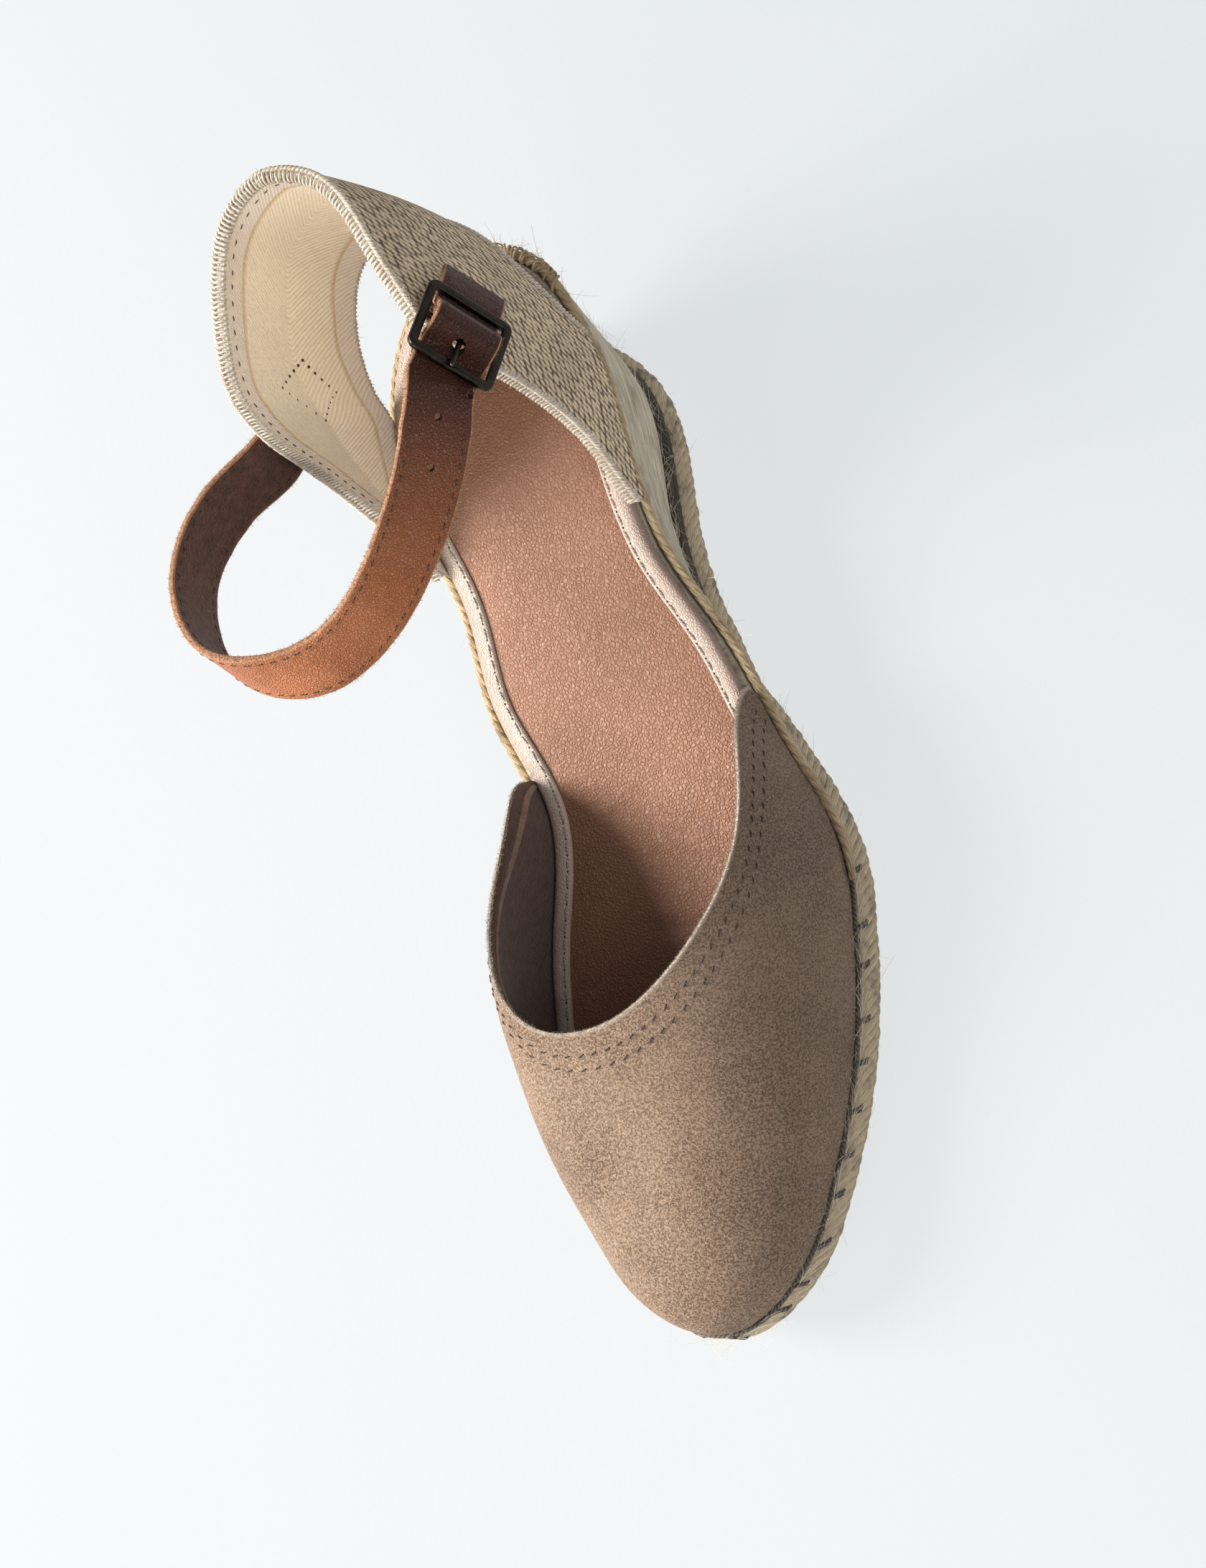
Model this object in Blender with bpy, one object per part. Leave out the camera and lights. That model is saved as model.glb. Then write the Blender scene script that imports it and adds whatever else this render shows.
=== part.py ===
"""Wedge espadrille, left shoe, standing empty on its sole.

Row frame: metres, +Z up, toe towards -Y, the wearer's outer (lateral) side towards +X.
The origin is on the floor under the middle of the heel, HEEL_REST_ALONG from the insole's end.
'along' is the distance from the heel end of the insole towards the toe. The shape functions use
y = -along, and each finished piece is moved by HEEL_REST_ALONG, so that the heel rests at the origin.
"""
import math

import bmesh
import bpy
import numpy as np
from mathutils import Vector

MM = 0.001

# Driving sizes of the shoe
LENGTH = 248.0 * MM
HEEL_REST_ALONG = 30.0 * MM
BALL_WIDTH = 78.0 * MM
HEEL_WIDTH = 54.0 * MM
HEEL_LIFT = 36.0 * MM
OUTSOLE_THICKNESS = 11.0 * MM
TOE_SPRING = 9.0 * MM
SHANK_LIFT = 1.0 * MM
INSOLE_THICKNESS = 1.8 * MM
BINDING_WIDTH = 4.8 * MM
BINDING_THICKNESS = 2.3 * MM
UPPER_WALL = 1.8 * MM
INSTEP_HEIGHT = 55.0 * MM
CORD_RADIUS = 1.2 * MM
BAND_WALL = 2.4 * MM
COLLAR_RISE = 72.0 * MM
COLLAR_HEIGHT = 119.0 * MM
STRAP_WIDTH = 15.0 * MM
STRAP_THICKNESS = 1.6 * MM
TAB_WIDTH = 12.0 * MM
TAB_THICKNESS = 1.2 * MM
BUCKLE_WIDTH = 20.0 * MM
BUCKLE_LENGTH = 18.5 * MM
BUCKLE_BAR = 2.0 * MM
BUCKLE_CENTRE_BAR = 1.6 * MM
BUCKLE_THICKNESS = 1.4 * MM
PRONG_RADIUS = 0.6 * MM
PRONG_LEVEL = 0.85
HOLE_RADIUS = 0.8 * MM
PRONG_HOLE_RADIUS = 1.5 * MM
HOLE_SPACING = 10.6 * MM
FIRST_HOLE = 15.0 * MM
GAP = 0.3 * MM
UPPER_CLEARANCE = 0.5 * MM
SEAM_CLEARANCE = 0.5 * MM

# Plan of the insole edge: share of the length, then half widths inwards and outwards from the
# straight heel to toe line, as shares of the heel width at the back and of the ball width in front
PLAN_COLUMNS = ("along", "medial", "lateral")
PLAN_ROWS = (
    (0.030, 0.278, 0.289),
    (0.080, 0.424, 0.411),
    (0.140, 0.500, 0.485),
    (0.220, 0.507, 0.478),
    (0.310, 0.468, 0.467),
    (0.400, 0.363, 0.418),
    (0.500, 0.302, 0.462),
    (0.600, 0.402, 0.533),
    (0.680, 0.476, 0.513),
    (0.760, 0.498, 0.456),
    (0.840, 0.459, 0.370),
    (0.910, 0.372, 0.266),
    (0.960, 0.281, 0.163),
)
HEEL_TIP_SHARE = 0.003
TOE_TIP_SHARE = -0.067
WIDTH_BLEND = (0.30, 0.42)

# Height of the wedge above the outsole: share of the length, share of the heel lift
WEDGE_ROWS = (
    (0.00, 1.000),
    (0.10, 0.985),
    (0.20, 0.875),
    (0.30, 0.620),
    (0.40, 0.385),
    (0.50, 0.195),
    (0.60, 0.062),
    (0.68, 0.000),
)
WEDGE_END = 0.645
SPRING_START = 0.72
SHANK_SPAN = (0.22, 0.60)

# How far each edge of the sole stands out past the insole edge, from heel to toe
SOLE_OUT_ROWS = (
    (0.000, -7.4 * MM),
    (0.045, -7.6 * MM),
    (0.080, -5.0 * MM),
    (0.120, -2.8 * MM),
    (0.200, -1.6 * MM),
    (0.300, -1.5 * MM),
    (0.360, -2.8 * MM),
    (0.420, -3.6 * MM),
    (0.460, -1.2 * MM),
    (0.500, 1.2 * MM),
    (0.560, 2.8 * MM),
    (0.660, 3.7 * MM),
    (1.000, 3.5 * MM),
)
SIDE_BULGE = 0.6 * MM
GROOVE_DEPTH = 2.6 * MM
WEDGE_FOOT_INSET = 1.2 * MM
WEDGE_TOP_BEYOND = 0.5 * MM
CORD_DROP = 1.4 * MM
CORD_END_RADIUS = 0.9 * MM
# How far out of the insole edge the cord lies, from heel to toe
CORD_OUT_ROWS = (
    (0.00, 1.9 * MM),
    (0.36, 1.9 * MM),
    (0.50, 3.0 * MM),
    (1.00, 3.0 * MM),
)

# Ridge height of the toe vamp over the outsole: share of the length, share of the instep height
VAMP_ROWS = (
    (0.42, 1.130),
    (0.50, 1.055),
    (0.58, 1.000),
    (0.66, 0.910),
    (0.74, 0.745),
    (0.82, 0.573),
    (0.90, 0.440),
    (0.95, 0.392),
    (1.02, 0.355),
)
TOE_ROUND_START = 0.90
TOE_ROUND_POWER = 2.2
SECTION_POWER = 2.26
RIDGE_SHIFT = 0.20
# Throat line of the vamp: place across the section from medial to lateral, share of the length
THROAT_ROWS = (
    (-1.00, 0.470),
    (-0.70, 0.630),
    (-0.35, 0.710),
    (0.00, 0.730),
    (0.35, 0.718),
    (0.70, 0.655),
    (0.88, 0.560),
    (1.00, 0.455),
)
VAMP_BACK = (0.465, 0.455)

# Heel band, from the back centre to its sewn end, the same on both sides.
# Arcs run along the insole edge from the heel tip as shares of the length. Rises are shares of
# the collar rise over the sole. The last columns are offsets past the insole edge and the bulge.
BAND_COLUMNS = ("at", "arc_low", "rise_low", "out_low", "arc_top", "rise_top", "out_top", "bulge")
BAND_ROWS = (
    (0.00, 0.000, 0.370, 2.4 * MM, 0.000, 1.000, 1.0 * MM, 1.6 * MM),
    (0.20, 0.044, 0.345, 2.4 * MM, 0.052, 0.986, 0.2 * MM, 1.6 * MM),
    (0.40, 0.085, 0.280, 2.4 * MM, 0.105, 0.960, -1.8 * MM, 1.4 * MM),
    (0.58, 0.121, 0.200, 2.6 * MM, 0.158, 0.930, -3.0 * MM, 1.2 * MM),
    (0.72, 0.151, 0.110, 2.8 * MM, 0.201, 0.890, -2.6 * MM, 0.8 * MM),
    (0.82, 0.178, 0.010, 2.8 * MM, 0.227, 0.740, -0.6 * MM, 0.3 * MM),
    (0.90, 0.222, 0.000, 2.8 * MM, 0.244, 0.490, 1.4 * MM, 0.0 * MM),
    (0.96, 0.270, 0.000, 2.8 * MM, 0.274, 0.230, 2.6 * MM, 0.0 * MM),
    (1.00, 0.318, 0.000, 2.8 * MM, 0.324, 0.050, 2.8 * MM, 0.0 * MM),
)
COLLAR_SHIFT = 2.5 * MM

# Strap from its seam on the medial side of the band, round the front, to the buckle:
# across as a share of the heel width, along of the length, height of the collar height, and
# the lean of its width from upright in degrees
STRAP_COLUMNS = ("across", "along", "height", "lean")
STRAP_ROWS = (
    (-0.655, 0.178, 0.724, 16.0),
    (-0.796, 0.206, 0.773, 17.0),
    (-0.938, 0.250, 0.820, 6.0),
    (-0.985, 0.296, 0.845, -2.0),
    (-0.926, 0.347, 0.860, -11.0),
    (-0.760, 0.381, 0.864, -22.0),
    (-0.480, 0.395, 0.853, -32.0),
    (-0.176, 0.377, 0.861, -29.0),
    (0.111, 0.333, 0.891, -32.0),
    (0.333, 0.278, 0.920, -38.0),
)
# The strap's seam on the outside of the band, as places along and across the band
STRAP_SEAM = ((-0.64, 0.42), (-0.70, 0.47), (-0.76, 0.54))

# Buckle: its place, as for the strap, then the heading of the strap through it, its dip
# and the lean of its width, in degrees
BUCKLE_PLACE = (0.555, 0.184, 0.908)
BUCKLE_HEADING = 12.0
BUCKLE_DIP = 31.0
BUCKLE_LEAN = -30.0
TAB_SEAM = ((0.73, 0.79), (0.67, 0.75))
STRAP_TAIL = 7.5 * MM
TAIL_DIP = 1.6 * MM

DENSE = 360
RING_COUNT = 42
WEDGE_RING_COUNT = 38
BAND_GRID_ROWS = 49
BAND_GRID_COLUMNS = 7
VAMP_GRID_ROWS = 45
VAMP_GRID_COLUMNS = 11
LEAN_WEIGHT = 0.2 * MM


def monotone(rows, x, column=1):
    """Smooth curve through rows of (position, value ...), with no overshoot."""
    px = np.array([row[0] for row in rows], float)
    py = np.array([row[column] for row in rows], float)
    step = np.diff(px)
    slope = np.diff(py) / step
    tangent = np.zeros_like(py)
    tangent[0] = slope[0]
    tangent[-1] = slope[-1]
    for i in range(1, len(px) - 1):
        if slope[i - 1] * slope[i] > 0.0:
            weight_a = 2.0 * step[i] + step[i - 1]
            weight_b = step[i] + 2.0 * step[i - 1]
            tangent[i] = (weight_a + weight_b) / (weight_a / slope[i - 1] + weight_b / slope[i])
    x = np.clip(np.asarray(x, float), px[0], px[-1])
    i = np.clip(np.searchsorted(px, x, side="right") - 1, 0, len(step) - 1)
    t = (x - px[i]) / step[i]
    return (py[i] * (1 + 2 * t) * (1 - t) ** 2 + py[i + 1] * t * t * (3 - 2 * t)
            + step[i] * (tangent[i] * t * (1 - t) ** 2 + tangent[i + 1] * t * t * (t - 1)))


def smooth(low, high, x):
    t = np.clip((np.asarray(x, float) - low) / (high - low), 0.0, 1.0)
    return t * t * (3.0 - 2.0 * t)


def spline(points, samples, closed):
    """Cubic spline through points, spaced by chord, sampled evenly in its parameter."""
    points = np.asarray(points, float)
    if closed:
        points = np.vstack([points, points[:1]])
    knots = np.concatenate([[0.0], np.cumsum(np.sqrt(np.linalg.norm(np.diff(points, axis=0), axis=1)))])
    step = np.diff(knots)
    count = len(points)
    slope = np.diff(points, axis=0) / step[:, None]
    matrix = np.zeros((count, count))
    right = np.zeros_like(points)
    for i in range(1, count - 1):
        matrix[i, i - 1] = step[i]
        matrix[i, i] = 2.0 * (step[i - 1] + step[i])
        matrix[i, i + 1] = step[i - 1]
        right[i] = 3.0 * (step[i] * slope[i - 1] + step[i - 1] * slope[i])
    if closed:
        matrix[0, 0] = 2.0 * (step[-1] + step[0])
        matrix[0, 1] = step[-1]
        matrix[0, count - 2] = step[0]
        right[0] = 3.0 * (step[0] * slope[-1] + step[-1] * slope[0])
        matrix[-1, 0] = 1.0
        matrix[-1, -1] = -1.0
    else:
        matrix[0, 0] = 2.0
        matrix[0, 1] = 1.0
        right[0] = 3.0 * slope[0]
        matrix[-1, -1] = 2.0
        matrix[-1, -2] = 1.0
        right[-1] = 3.0 * slope[-1]
    tangent = np.linalg.solve(matrix, right)
    at = np.linspace(0.0, knots[-1], samples + 1 if closed else samples)
    if closed:
        at = at[:-1]
    i = np.clip(np.searchsorted(knots, at, side="right") - 1, 0, len(step) - 1)
    t = ((at - knots[i]) / step[i])[:, None]
    width = step[i][:, None]
    return (points[i] * (1 + 2 * t) * (1 - t) ** 2 + points[i + 1] * t * t * (3 - 2 * t)
            + width * (tangent[i] * t * (1 - t) ** 2 + tangent[i + 1] * t * t * (t - 1)))


def unit(vectors):
    vectors = np.asarray(vectors, float)
    return vectors / np.linalg.norm(vectors, axis=-1, keepdims=True)


def plan_outline():
    """Insole edge as (x, along) points from the heel tip up the lateral side, round the toe and back."""
    width = {}
    for along, medial, lateral in PLAN_ROWS:
        mix = float(smooth(WIDTH_BLEND[0], WIDTH_BLEND[1], along))
        width[along] = HEEL_WIDTH * (1.0 - mix) + BALL_WIDTH * mix
    points = [(HEEL_TIP_SHARE * HEEL_WIDTH, 0.0)]
    points += [(lateral * width[along], along * LENGTH) for along, medial, lateral in PLAN_ROWS]
    points += [(TOE_TIP_SHARE * BALL_WIDTH, LENGTH)]
    points += [(-medial * width[along], along * LENGTH) for along, medial, lateral in reversed(PLAN_ROWS)]
    curve = spline(points, DENSE, closed=True)
    ahead = np.roll(curve, -1, axis=0) - np.roll(curve, 1, axis=0)
    normal = unit(np.stack([ahead[:, 1], -ahead[:, 0]], axis=1))
    return curve, normal


OUTLINE, OUTLINE_NORMAL = plan_outline()
TOE_INDEX = int(np.argmax(OUTLINE[:, 1]))


def offset_outline(out):
    return OUTLINE + OUTLINE_NORMAL * out


def side_x(along, out, lateral):
    """Where the lateral or medial edge lies, for the outline moved out by a distance."""
    curve = offset_outline(out)
    if lateral:
        part = curve[:TOE_INDEX + 1]
    else:
        part = np.vstack([curve[TOE_INDEX:], curve[:1]])[::-1]
    return np.interp(along, part[:, 1], part[:, 0])


def spring(along):
    """Height of the outsole's underside over the floor."""
    share = np.asarray(along, float) / LENGTH
    toe = TOE_SPRING * (np.clip(share - SPRING_START, 0.0, None) / (1.0 - SPRING_START)) ** 2
    shank = np.clip((share - SHANK_SPAN[0]) / (SHANK_SPAN[1] - SHANK_SPAN[0]), 0.0, 1.0)
    return toe + SHANK_LIFT * np.sin(math.pi * shank) ** 2


def outsole_top(along):
    return spring(along) + OUTSOLE_THICKNESS


def wedge_height(along):
    return HEEL_LIFT * monotone(WEDGE_ROWS, np.asarray(along, float) / LENGTH)


def support(along):
    """Top of the sole under the insole: the wedge at the back, the outsole in front."""
    return outsole_top(along) + wedge_height(along)


def ring_stations(end=None, count=RING_COUNT):
    """Outline indices from the heel tip to the toe, or to a cut across, closer at the round ends."""
    stop = LENGTH if end is None else end * LENGTH
    turn = math.pi if end is None else math.pi / 2.0
    share = (1.0 - np.cos(np.linspace(0.0, turn, count + 1)))
    return share / share[-1] * stop


def ring(out, height, end=None, count=RING_COUNT):
    """Closed loop of points: heel tip, lateral side, toe tip (or cut), medial side."""
    along = ring_stations(end, count)
    last = TOE_INDEX + 1
    lateral_index = np.interp(along, OUTLINE[:last, 1], np.arange(last))
    medial_along = np.concatenate([OUTLINE[TOE_INDEX:, 1], OUTLINE[:1, 1]])[::-1]
    medial_index = np.interp(along, medial_along, np.arange(DENSE, TOE_INDEX - 1, -1))
    inner = slice(1, -1) if end is None else slice(1, None)
    index = np.concatenate([lateral_index, medial_index[inner][::-1]])
    low = np.floor(index).astype(int)
    mix = (index - low)[:, None]
    base = OUTLINE[low % DENSE] * (1 - mix) + OUTLINE[(low + 1) % DENSE] * mix
    normal = unit(OUTLINE_NORMAL[low % DENSE] * (1 - mix) + OUTLINE_NORMAL[(low + 1) % DENSE] * mix)
    distance = out(base[:, 1]) if callable(out) else np.full(len(base), out)
    moved = base + normal * distance[:, None]
    z = height(np.clip(moved[:, 1], 0.0, LENGTH))
    return np.stack([moved[:, 0], -moved[:, 1], z], axis=1)


def cap_strips(count_loop, first, toe_tip):
    """Faces across a loop, pairing each lateral point with its medial one."""
    lateral_last = count_loop // 2
    faces = []
    previous = (0, 0)
    stop = lateral_last if toe_tip else lateral_last + 1
    for i in range(1, stop):
        pair = (i, count_loop - i)
        if previous[0] == previous[1]:
            faces.append((first + previous[0], first + pair[0], first + pair[1]))
        else:
            faces.append((first + previous[0], first + pair[0], first + pair[1], first + previous[1]))
        previous = pair
    if toe_tip:
        faces.append((first + previous[0], first + lateral_last, first + previous[1]))
    return faces


def stack(rings, toe_tip=True):
    """Closed solid from a list of equal loops, the lowest first."""
    count = len(rings[0])
    verts = np.vstack(rings)
    faces = []
    for level in range(len(rings) - 1):
        for i in range(count):
            j = (i + 1) % count
            a = level * count
            faces.append((a + i, a + j, a + count + j, a + count + i))
    faces += cap_strips(count, 0, toe_tip)
    faces += cap_strips(count, (len(rings) - 1) * count, toe_tip)
    return verts, faces


def shell(outer, inner):
    """Closed wall between two grids of points with the same rows and columns."""
    rows, columns, _ = outer.shape
    size = rows * columns
    verts = np.vstack([outer.reshape(-1, 3), inner.reshape(-1, 3)])
    faces = []
    for i in range(rows - 1):
        for j in range(columns - 1):
            a = i * columns + j
            faces.append((a, a + 1, a + columns + 1, a + columns))
            faces.append((size + a, size + a + columns, size + a + columns + 1, size + a + 1))
    border = [(0, j) for j in range(columns)] + [(i, columns - 1) for i in range(1, rows)]
    border += [(rows - 1, j) for j in range(columns - 2, -1, -1)] + [(i, 0) for i in range(rows - 2, 0, -1)]
    index = [i * columns + j for i, j in border]
    for a, b in zip(index, index[1:] + index[:1]):
        faces.append((a, size + a, size + b, b))
    return verts, faces


def sweep(sections, closed=False):
    """Tube through equal closed sections, capped at both ends unless it is a ring."""
    count = len(sections[0])
    verts = np.vstack(sections)
    faces = []
    total = len(sections)
    for k in range(total if closed else total - 1):
        a = k * count
        b = ((k + 1) % total) * count
        for i in range(count):
            j = (i + 1) % count
            faces.append((a + i, a + j, b + j, b + i))
    if not closed:
        faces.append(tuple(range(count)))
        faces.append(tuple((total - 1) * count + i for i in range(count)))
    return verts, faces


def material(name, colour, roughness, metallic=0.0):
    item = bpy.data.materials.new(name)
    item.use_nodes = True
    shader = item.node_tree.nodes["Principled BSDF"]
    shader.inputs["Base Color"].default_value = (*colour, 1.0)
    shader.inputs["Roughness"].default_value = roughness
    shader.inputs["Metallic"].default_value = metallic
    item.diffuse_color = (*colour, 1.0)
    return item


def solid(name, geometry, finish, sharp_degrees=40.0):
    verts, faces = geometry
    mesh = bpy.data.meshes.new(name)
    mesh.from_pydata([(float(v[0]), float(v[1]) + HEEL_REST_ALONG, float(v[2])) for v in verts], [], faces)
    work = bmesh.new()
    work.from_mesh(mesh)
    bmesh.ops.recalc_face_normals(work, faces=work.faces)
    if work.calc_volume(signed=True) < 0.0:
        bmesh.ops.reverse_faces(work, faces=work.faces)
    work.to_mesh(mesh)
    work.free()
    mesh.shade_smooth()
    mesh.set_sharp_from_angle(angle=math.radians(sharp_degrees))
    item = bpy.data.objects.new(name, mesh)
    item.data.materials.append(finish)
    bpy.context.scene.collection.objects.link(item)
    return item


def sole_out(along):
    return monotone(SOLE_OUT_ROWS, np.asarray(along, float) / LENGTH)


def make_outsole(finish):
    """Full length jute sole with a rounded ribbed side and a groove over it."""
    ribs = 3
    levels = [(0.0, -SIDE_BULGE)]
    for i in range(ribs):
        low = i / ribs
        levels += [(low + 0.3 / ribs, SIDE_BULGE), (low + 0.72 / ribs, SIDE_BULGE)]
        if i < ribs - 1:
            levels.append((low + 1.0 / ribs, 0.0))
    levels.append((1.0, -GROOVE_DEPTH))
    rings = []
    for share, bulge in levels:
        rings.append(ring(lambda along, b=bulge: sole_out(along) + b,
                          lambda along, s=share: spring(along) + s * OUTSOLE_THICKNESS))
    return solid("outsole", stack(rings), finish)


def wedge_side_share(along):
    """One where the wedge is thick enough to stand out under the cord, falling to nought in front."""
    room = wedge_height(along) - cord_seat_depth() - 2.0 * GAP
    return np.clip(room / (3.0 * MM), 0.0, 1.0)


def cord_seat_depth():
    return CORD_DROP + CORD_RADIUS + GAP


def make_wedge(finish):
    """Jute wedge on the outsole, with a seat round its top edge for the cord."""
    def plateau(along):
        return cord_out(along) - CORD_RADIUS - 1.2 * GAP

    def bottom(along):
        return outsole_top(along) + GAP

    def side(along, share, bulge):
        foot = sole_out(along) - WEDGE_FOOT_INSET
        full = foot * (1.0 - share) + (cord_out(along) + WEDGE_TOP_BEYOND) * share + bulge
        return plateau(along) + (full - plateau(along)) * wedge_side_share(along)

    def shoulder(along):
        return np.maximum(support(along) - cord_seat_depth(), bottom(along) + GAP)

    def between(along, share):
        return bottom(along) + share * (shoulder(along) - bottom(along))

    levels = ((0.0, 0.0), (0.25, 0.5 * SIDE_BULGE), (0.5, SIDE_BULGE), (0.75, SIDE_BULGE), (1.0, 0.0))
    rings = []
    for share, bulge in levels:
        rings.append(ring(lambda along, s=share, b=bulge: side(along, s, b),
                          lambda along, s=share: between(along, s), WEDGE_END, WEDGE_RING_COUNT))
    rings.append(ring(plateau, lambda along: shoulder(along) + 0.2 * GAP, WEDGE_END, WEDGE_RING_COUNT))
    rings.append(ring(plateau, support, WEDGE_END, WEDGE_RING_COUNT))
    return solid("wedge", stack(rings, toe_tip=False), finish)


def make_insole(finish):
    out = -BINDING_WIDTH - GAP

    def low(along):
        return support(along) + GAP

    def high(along):
        return support(along) + GAP + INSOLE_THICKNESS

    return solid("insole", stack([ring(out, low), ring(out, high)]), finish)


def make_binding(finish):
    """Leather rand round the insole edge, rounded over its outer corner."""
    profile = (
        (-BINDING_WIDTH, 0.0),
        (-BINDING_WIDTH, 0.88),
        (-BINDING_WIDTH + 0.5 * MM, 1.0),
        (-1.5 * MM, 1.0),
        (-0.6 * MM, 0.85),
        (-0.1 * MM, 0.5),
        (0.0, 0.0),
    )
    loops = []
    for out, share in profile:
        loops.append(ring(out, lambda along, s=share: support(along) + GAP + s * BINDING_THICKNESS))
    sections = [np.array([loop[i] for loop in loops]) for i in range(len(loops[0]))]
    return solid("insole_binding", sweep(sections, closed=True), finish, 50.0)


def cord_out(along):
    return monotone(CORD_OUT_ROWS, np.asarray(along, float) / LENGTH)


def cord_offset(along, radius):
    """How far out the cord lies so that it clears the lower edge of the upper."""
    upper_out = UPPER_CLEARANCE + UPPER_WALL
    above = np.clip(support(along) + GAP - cord_height(along), 0.0, None)
    reach = radius + GAP
    need = upper_out + np.sqrt(np.clip(reach ** 2 - above ** 2, 0.0, None))
    return np.maximum(cord_out(along), np.where(above < reach, need, 0.0))


def cord_height(along):
    lowest = outsole_top(along) + GAP + CORD_RADIUS
    return np.maximum(support(along) - CORD_DROP, lowest)


def make_cord(finish):
    """Twisted jute cord along the wedge's top edge, from one end of the vamp round the heel."""
    sides = 8
    half = np.linspace(0.0, 1.0, 55)
    along = (WEDGE_END - 0.004) * LENGTH * half ** 1.25
    last = TOE_INDEX + 1
    lateral = np.interp(along, OUTLINE[:last, 1], np.arange(last))
    medial_along = np.concatenate([OUTLINE[TOE_INDEX:, 1], OUTLINE[:1, 1]])[::-1]
    medial = np.interp(along, medial_along, np.arange(DENSE, TOE_INDEX - 1, -1))
    index = np.concatenate([medial[:0:-1], lateral])
    low = np.floor(index).astype(int)
    mix = (index - low)[:, None]
    base = OUTLINE[low % DENSE] * (1 - mix) + OUTLINE[(low + 1) % DENSE] * mix
    normal = unit(OUTLINE_NORMAL[low % DENSE] * (1 - mix) + OUTLINE_NORMAL[(low + 1) % DENSE] * mix)
    radius = CORD_RADIUS + (CORD_END_RADIUS - CORD_RADIUS) * smooth(
        (WEDGE_END - 0.06) * LENGTH, WEDGE_END * LENGTH, base[:, 1])
    moved = base + normal * cord_offset(base[:, 1], radius)[:, None]
    centre = np.stack([moved[:, 0], -moved[:, 1], cord_height(np.clip(moved[:, 1], 0.0, LENGTH))], axis=1)
    tangent = unit(np.gradient(centre, axis=0))
    outward = np.stack([normal[:, 0], -normal[:, 1], np.zeros(len(normal))], axis=1)
    outward = unit(outward - tangent * np.sum(outward * tangent, axis=1, keepdims=True))
    upward = np.cross(tangent, outward)
    sections = []
    for i in range(len(centre)):
        turn = [2.0 * math.pi * (k + 0.5) / sides for k in range(sides)]
        sections.append(np.array([centre[i] + radius[i] * (math.cos(a) * outward[i] + math.sin(a) * upward[i])
                                  for a in turn]))
    return solid("edge_cord", sweep(sections), finish, 60.0)


def vamp_edge(along, lateral):
    return side_x(along, UPPER_CLEARANCE + UPPER_WALL, lateral)


def ridge_top(along):
    share = np.asarray(along, float) / LENGTH
    end = 1.0 + (UPPER_CLEARANCE + UPPER_WALL) / LENGTH
    round_share = np.clip((share - TOE_ROUND_START) / (end - TOE_ROUND_START), 0.0, 1.0)
    height = INSTEP_HEIGHT * monotone(VAMP_ROWS, share)
    base = support(along) + GAP - outsole_top(along)
    return (height - base) * np.sqrt(1.0 - round_share ** TOE_ROUND_POWER)


def section_profile(across):
    return np.sqrt(np.clip(1.0 - np.abs(across) ** SECTION_POWER, 0.0, 1.0))


def vamp_plan(across, along):
    """Plan x of a place across the section, where -1 is the medial edge and 1 the lateral one."""
    lateral = vamp_edge(along, True)
    medial = vamp_edge(along, False)
    return 0.5 * (lateral + medial) + 0.5 * (lateral - medial) * (across - RIDGE_SHIFT * section_profile(across) ** 2)


def vamp_across(x, along):
    """Place across the section for a plan point."""
    lateral = vamp_edge(along, True)
    medial = vamp_edge(along, False)
    place = (x - 0.5 * (lateral + medial)) / np.maximum(0.5 * (lateral - medial), 1e-6)
    across = np.clip(place, -1.0, 1.0)
    for _ in range(24):
        across = np.clip(place + RIDGE_SHIFT * section_profile(across) ** 2, -1.0, 1.0)
    return across


def vamp_height(x, along):
    """Outer height of the vamp over a plan point."""
    return support(along) + GAP + ridge_top(along) * section_profile(vamp_across(x, along))


def vamp_surface(turn, along):
    """Outer point of the vamp, by the turn across its section and the place along it."""
    across = np.sin(turn)
    height = support(along) + GAP + ridge_top(along) * section_profile(across)
    return np.stack([vamp_plan(across, along), -along, height], axis=-1)


def vamp_normal(x, along):
    """Outward normal of the vamp over a plan point, from small steps across and along it."""
    step = 0.004
    limit = math.pi / 2.0 - 3.0 * step
    turn = np.clip(np.arcsin(np.clip(vamp_across(x, along), -1.0, 1.0)), -limit, limit)
    reach = step * LENGTH * 0.25
    place = np.clip(along, reach, LENGTH - reach)
    across = vamp_surface(turn + step, place) - vamp_surface(turn - step, place)
    ahead = vamp_surface(turn, place + reach) - vamp_surface(turn, place - reach)
    normal = unit(np.cross(ahead, across))
    return np.where(normal[..., 2:3] < 0.0, -normal, normal)


def resample(curve, count, keys=3):
    """Even steps along a curve, measured in its first columns, with any other columns carried along."""
    steps = np.linalg.norm(np.diff(curve[:, :keys], axis=0), axis=1)
    length = np.concatenate([[0.0], np.cumsum(steps)])
    at = np.linspace(0.0, length[-1], count)
    return np.stack([np.interp(at, length, curve[:, k]) for k in range(curve.shape[1])], axis=1)


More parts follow.
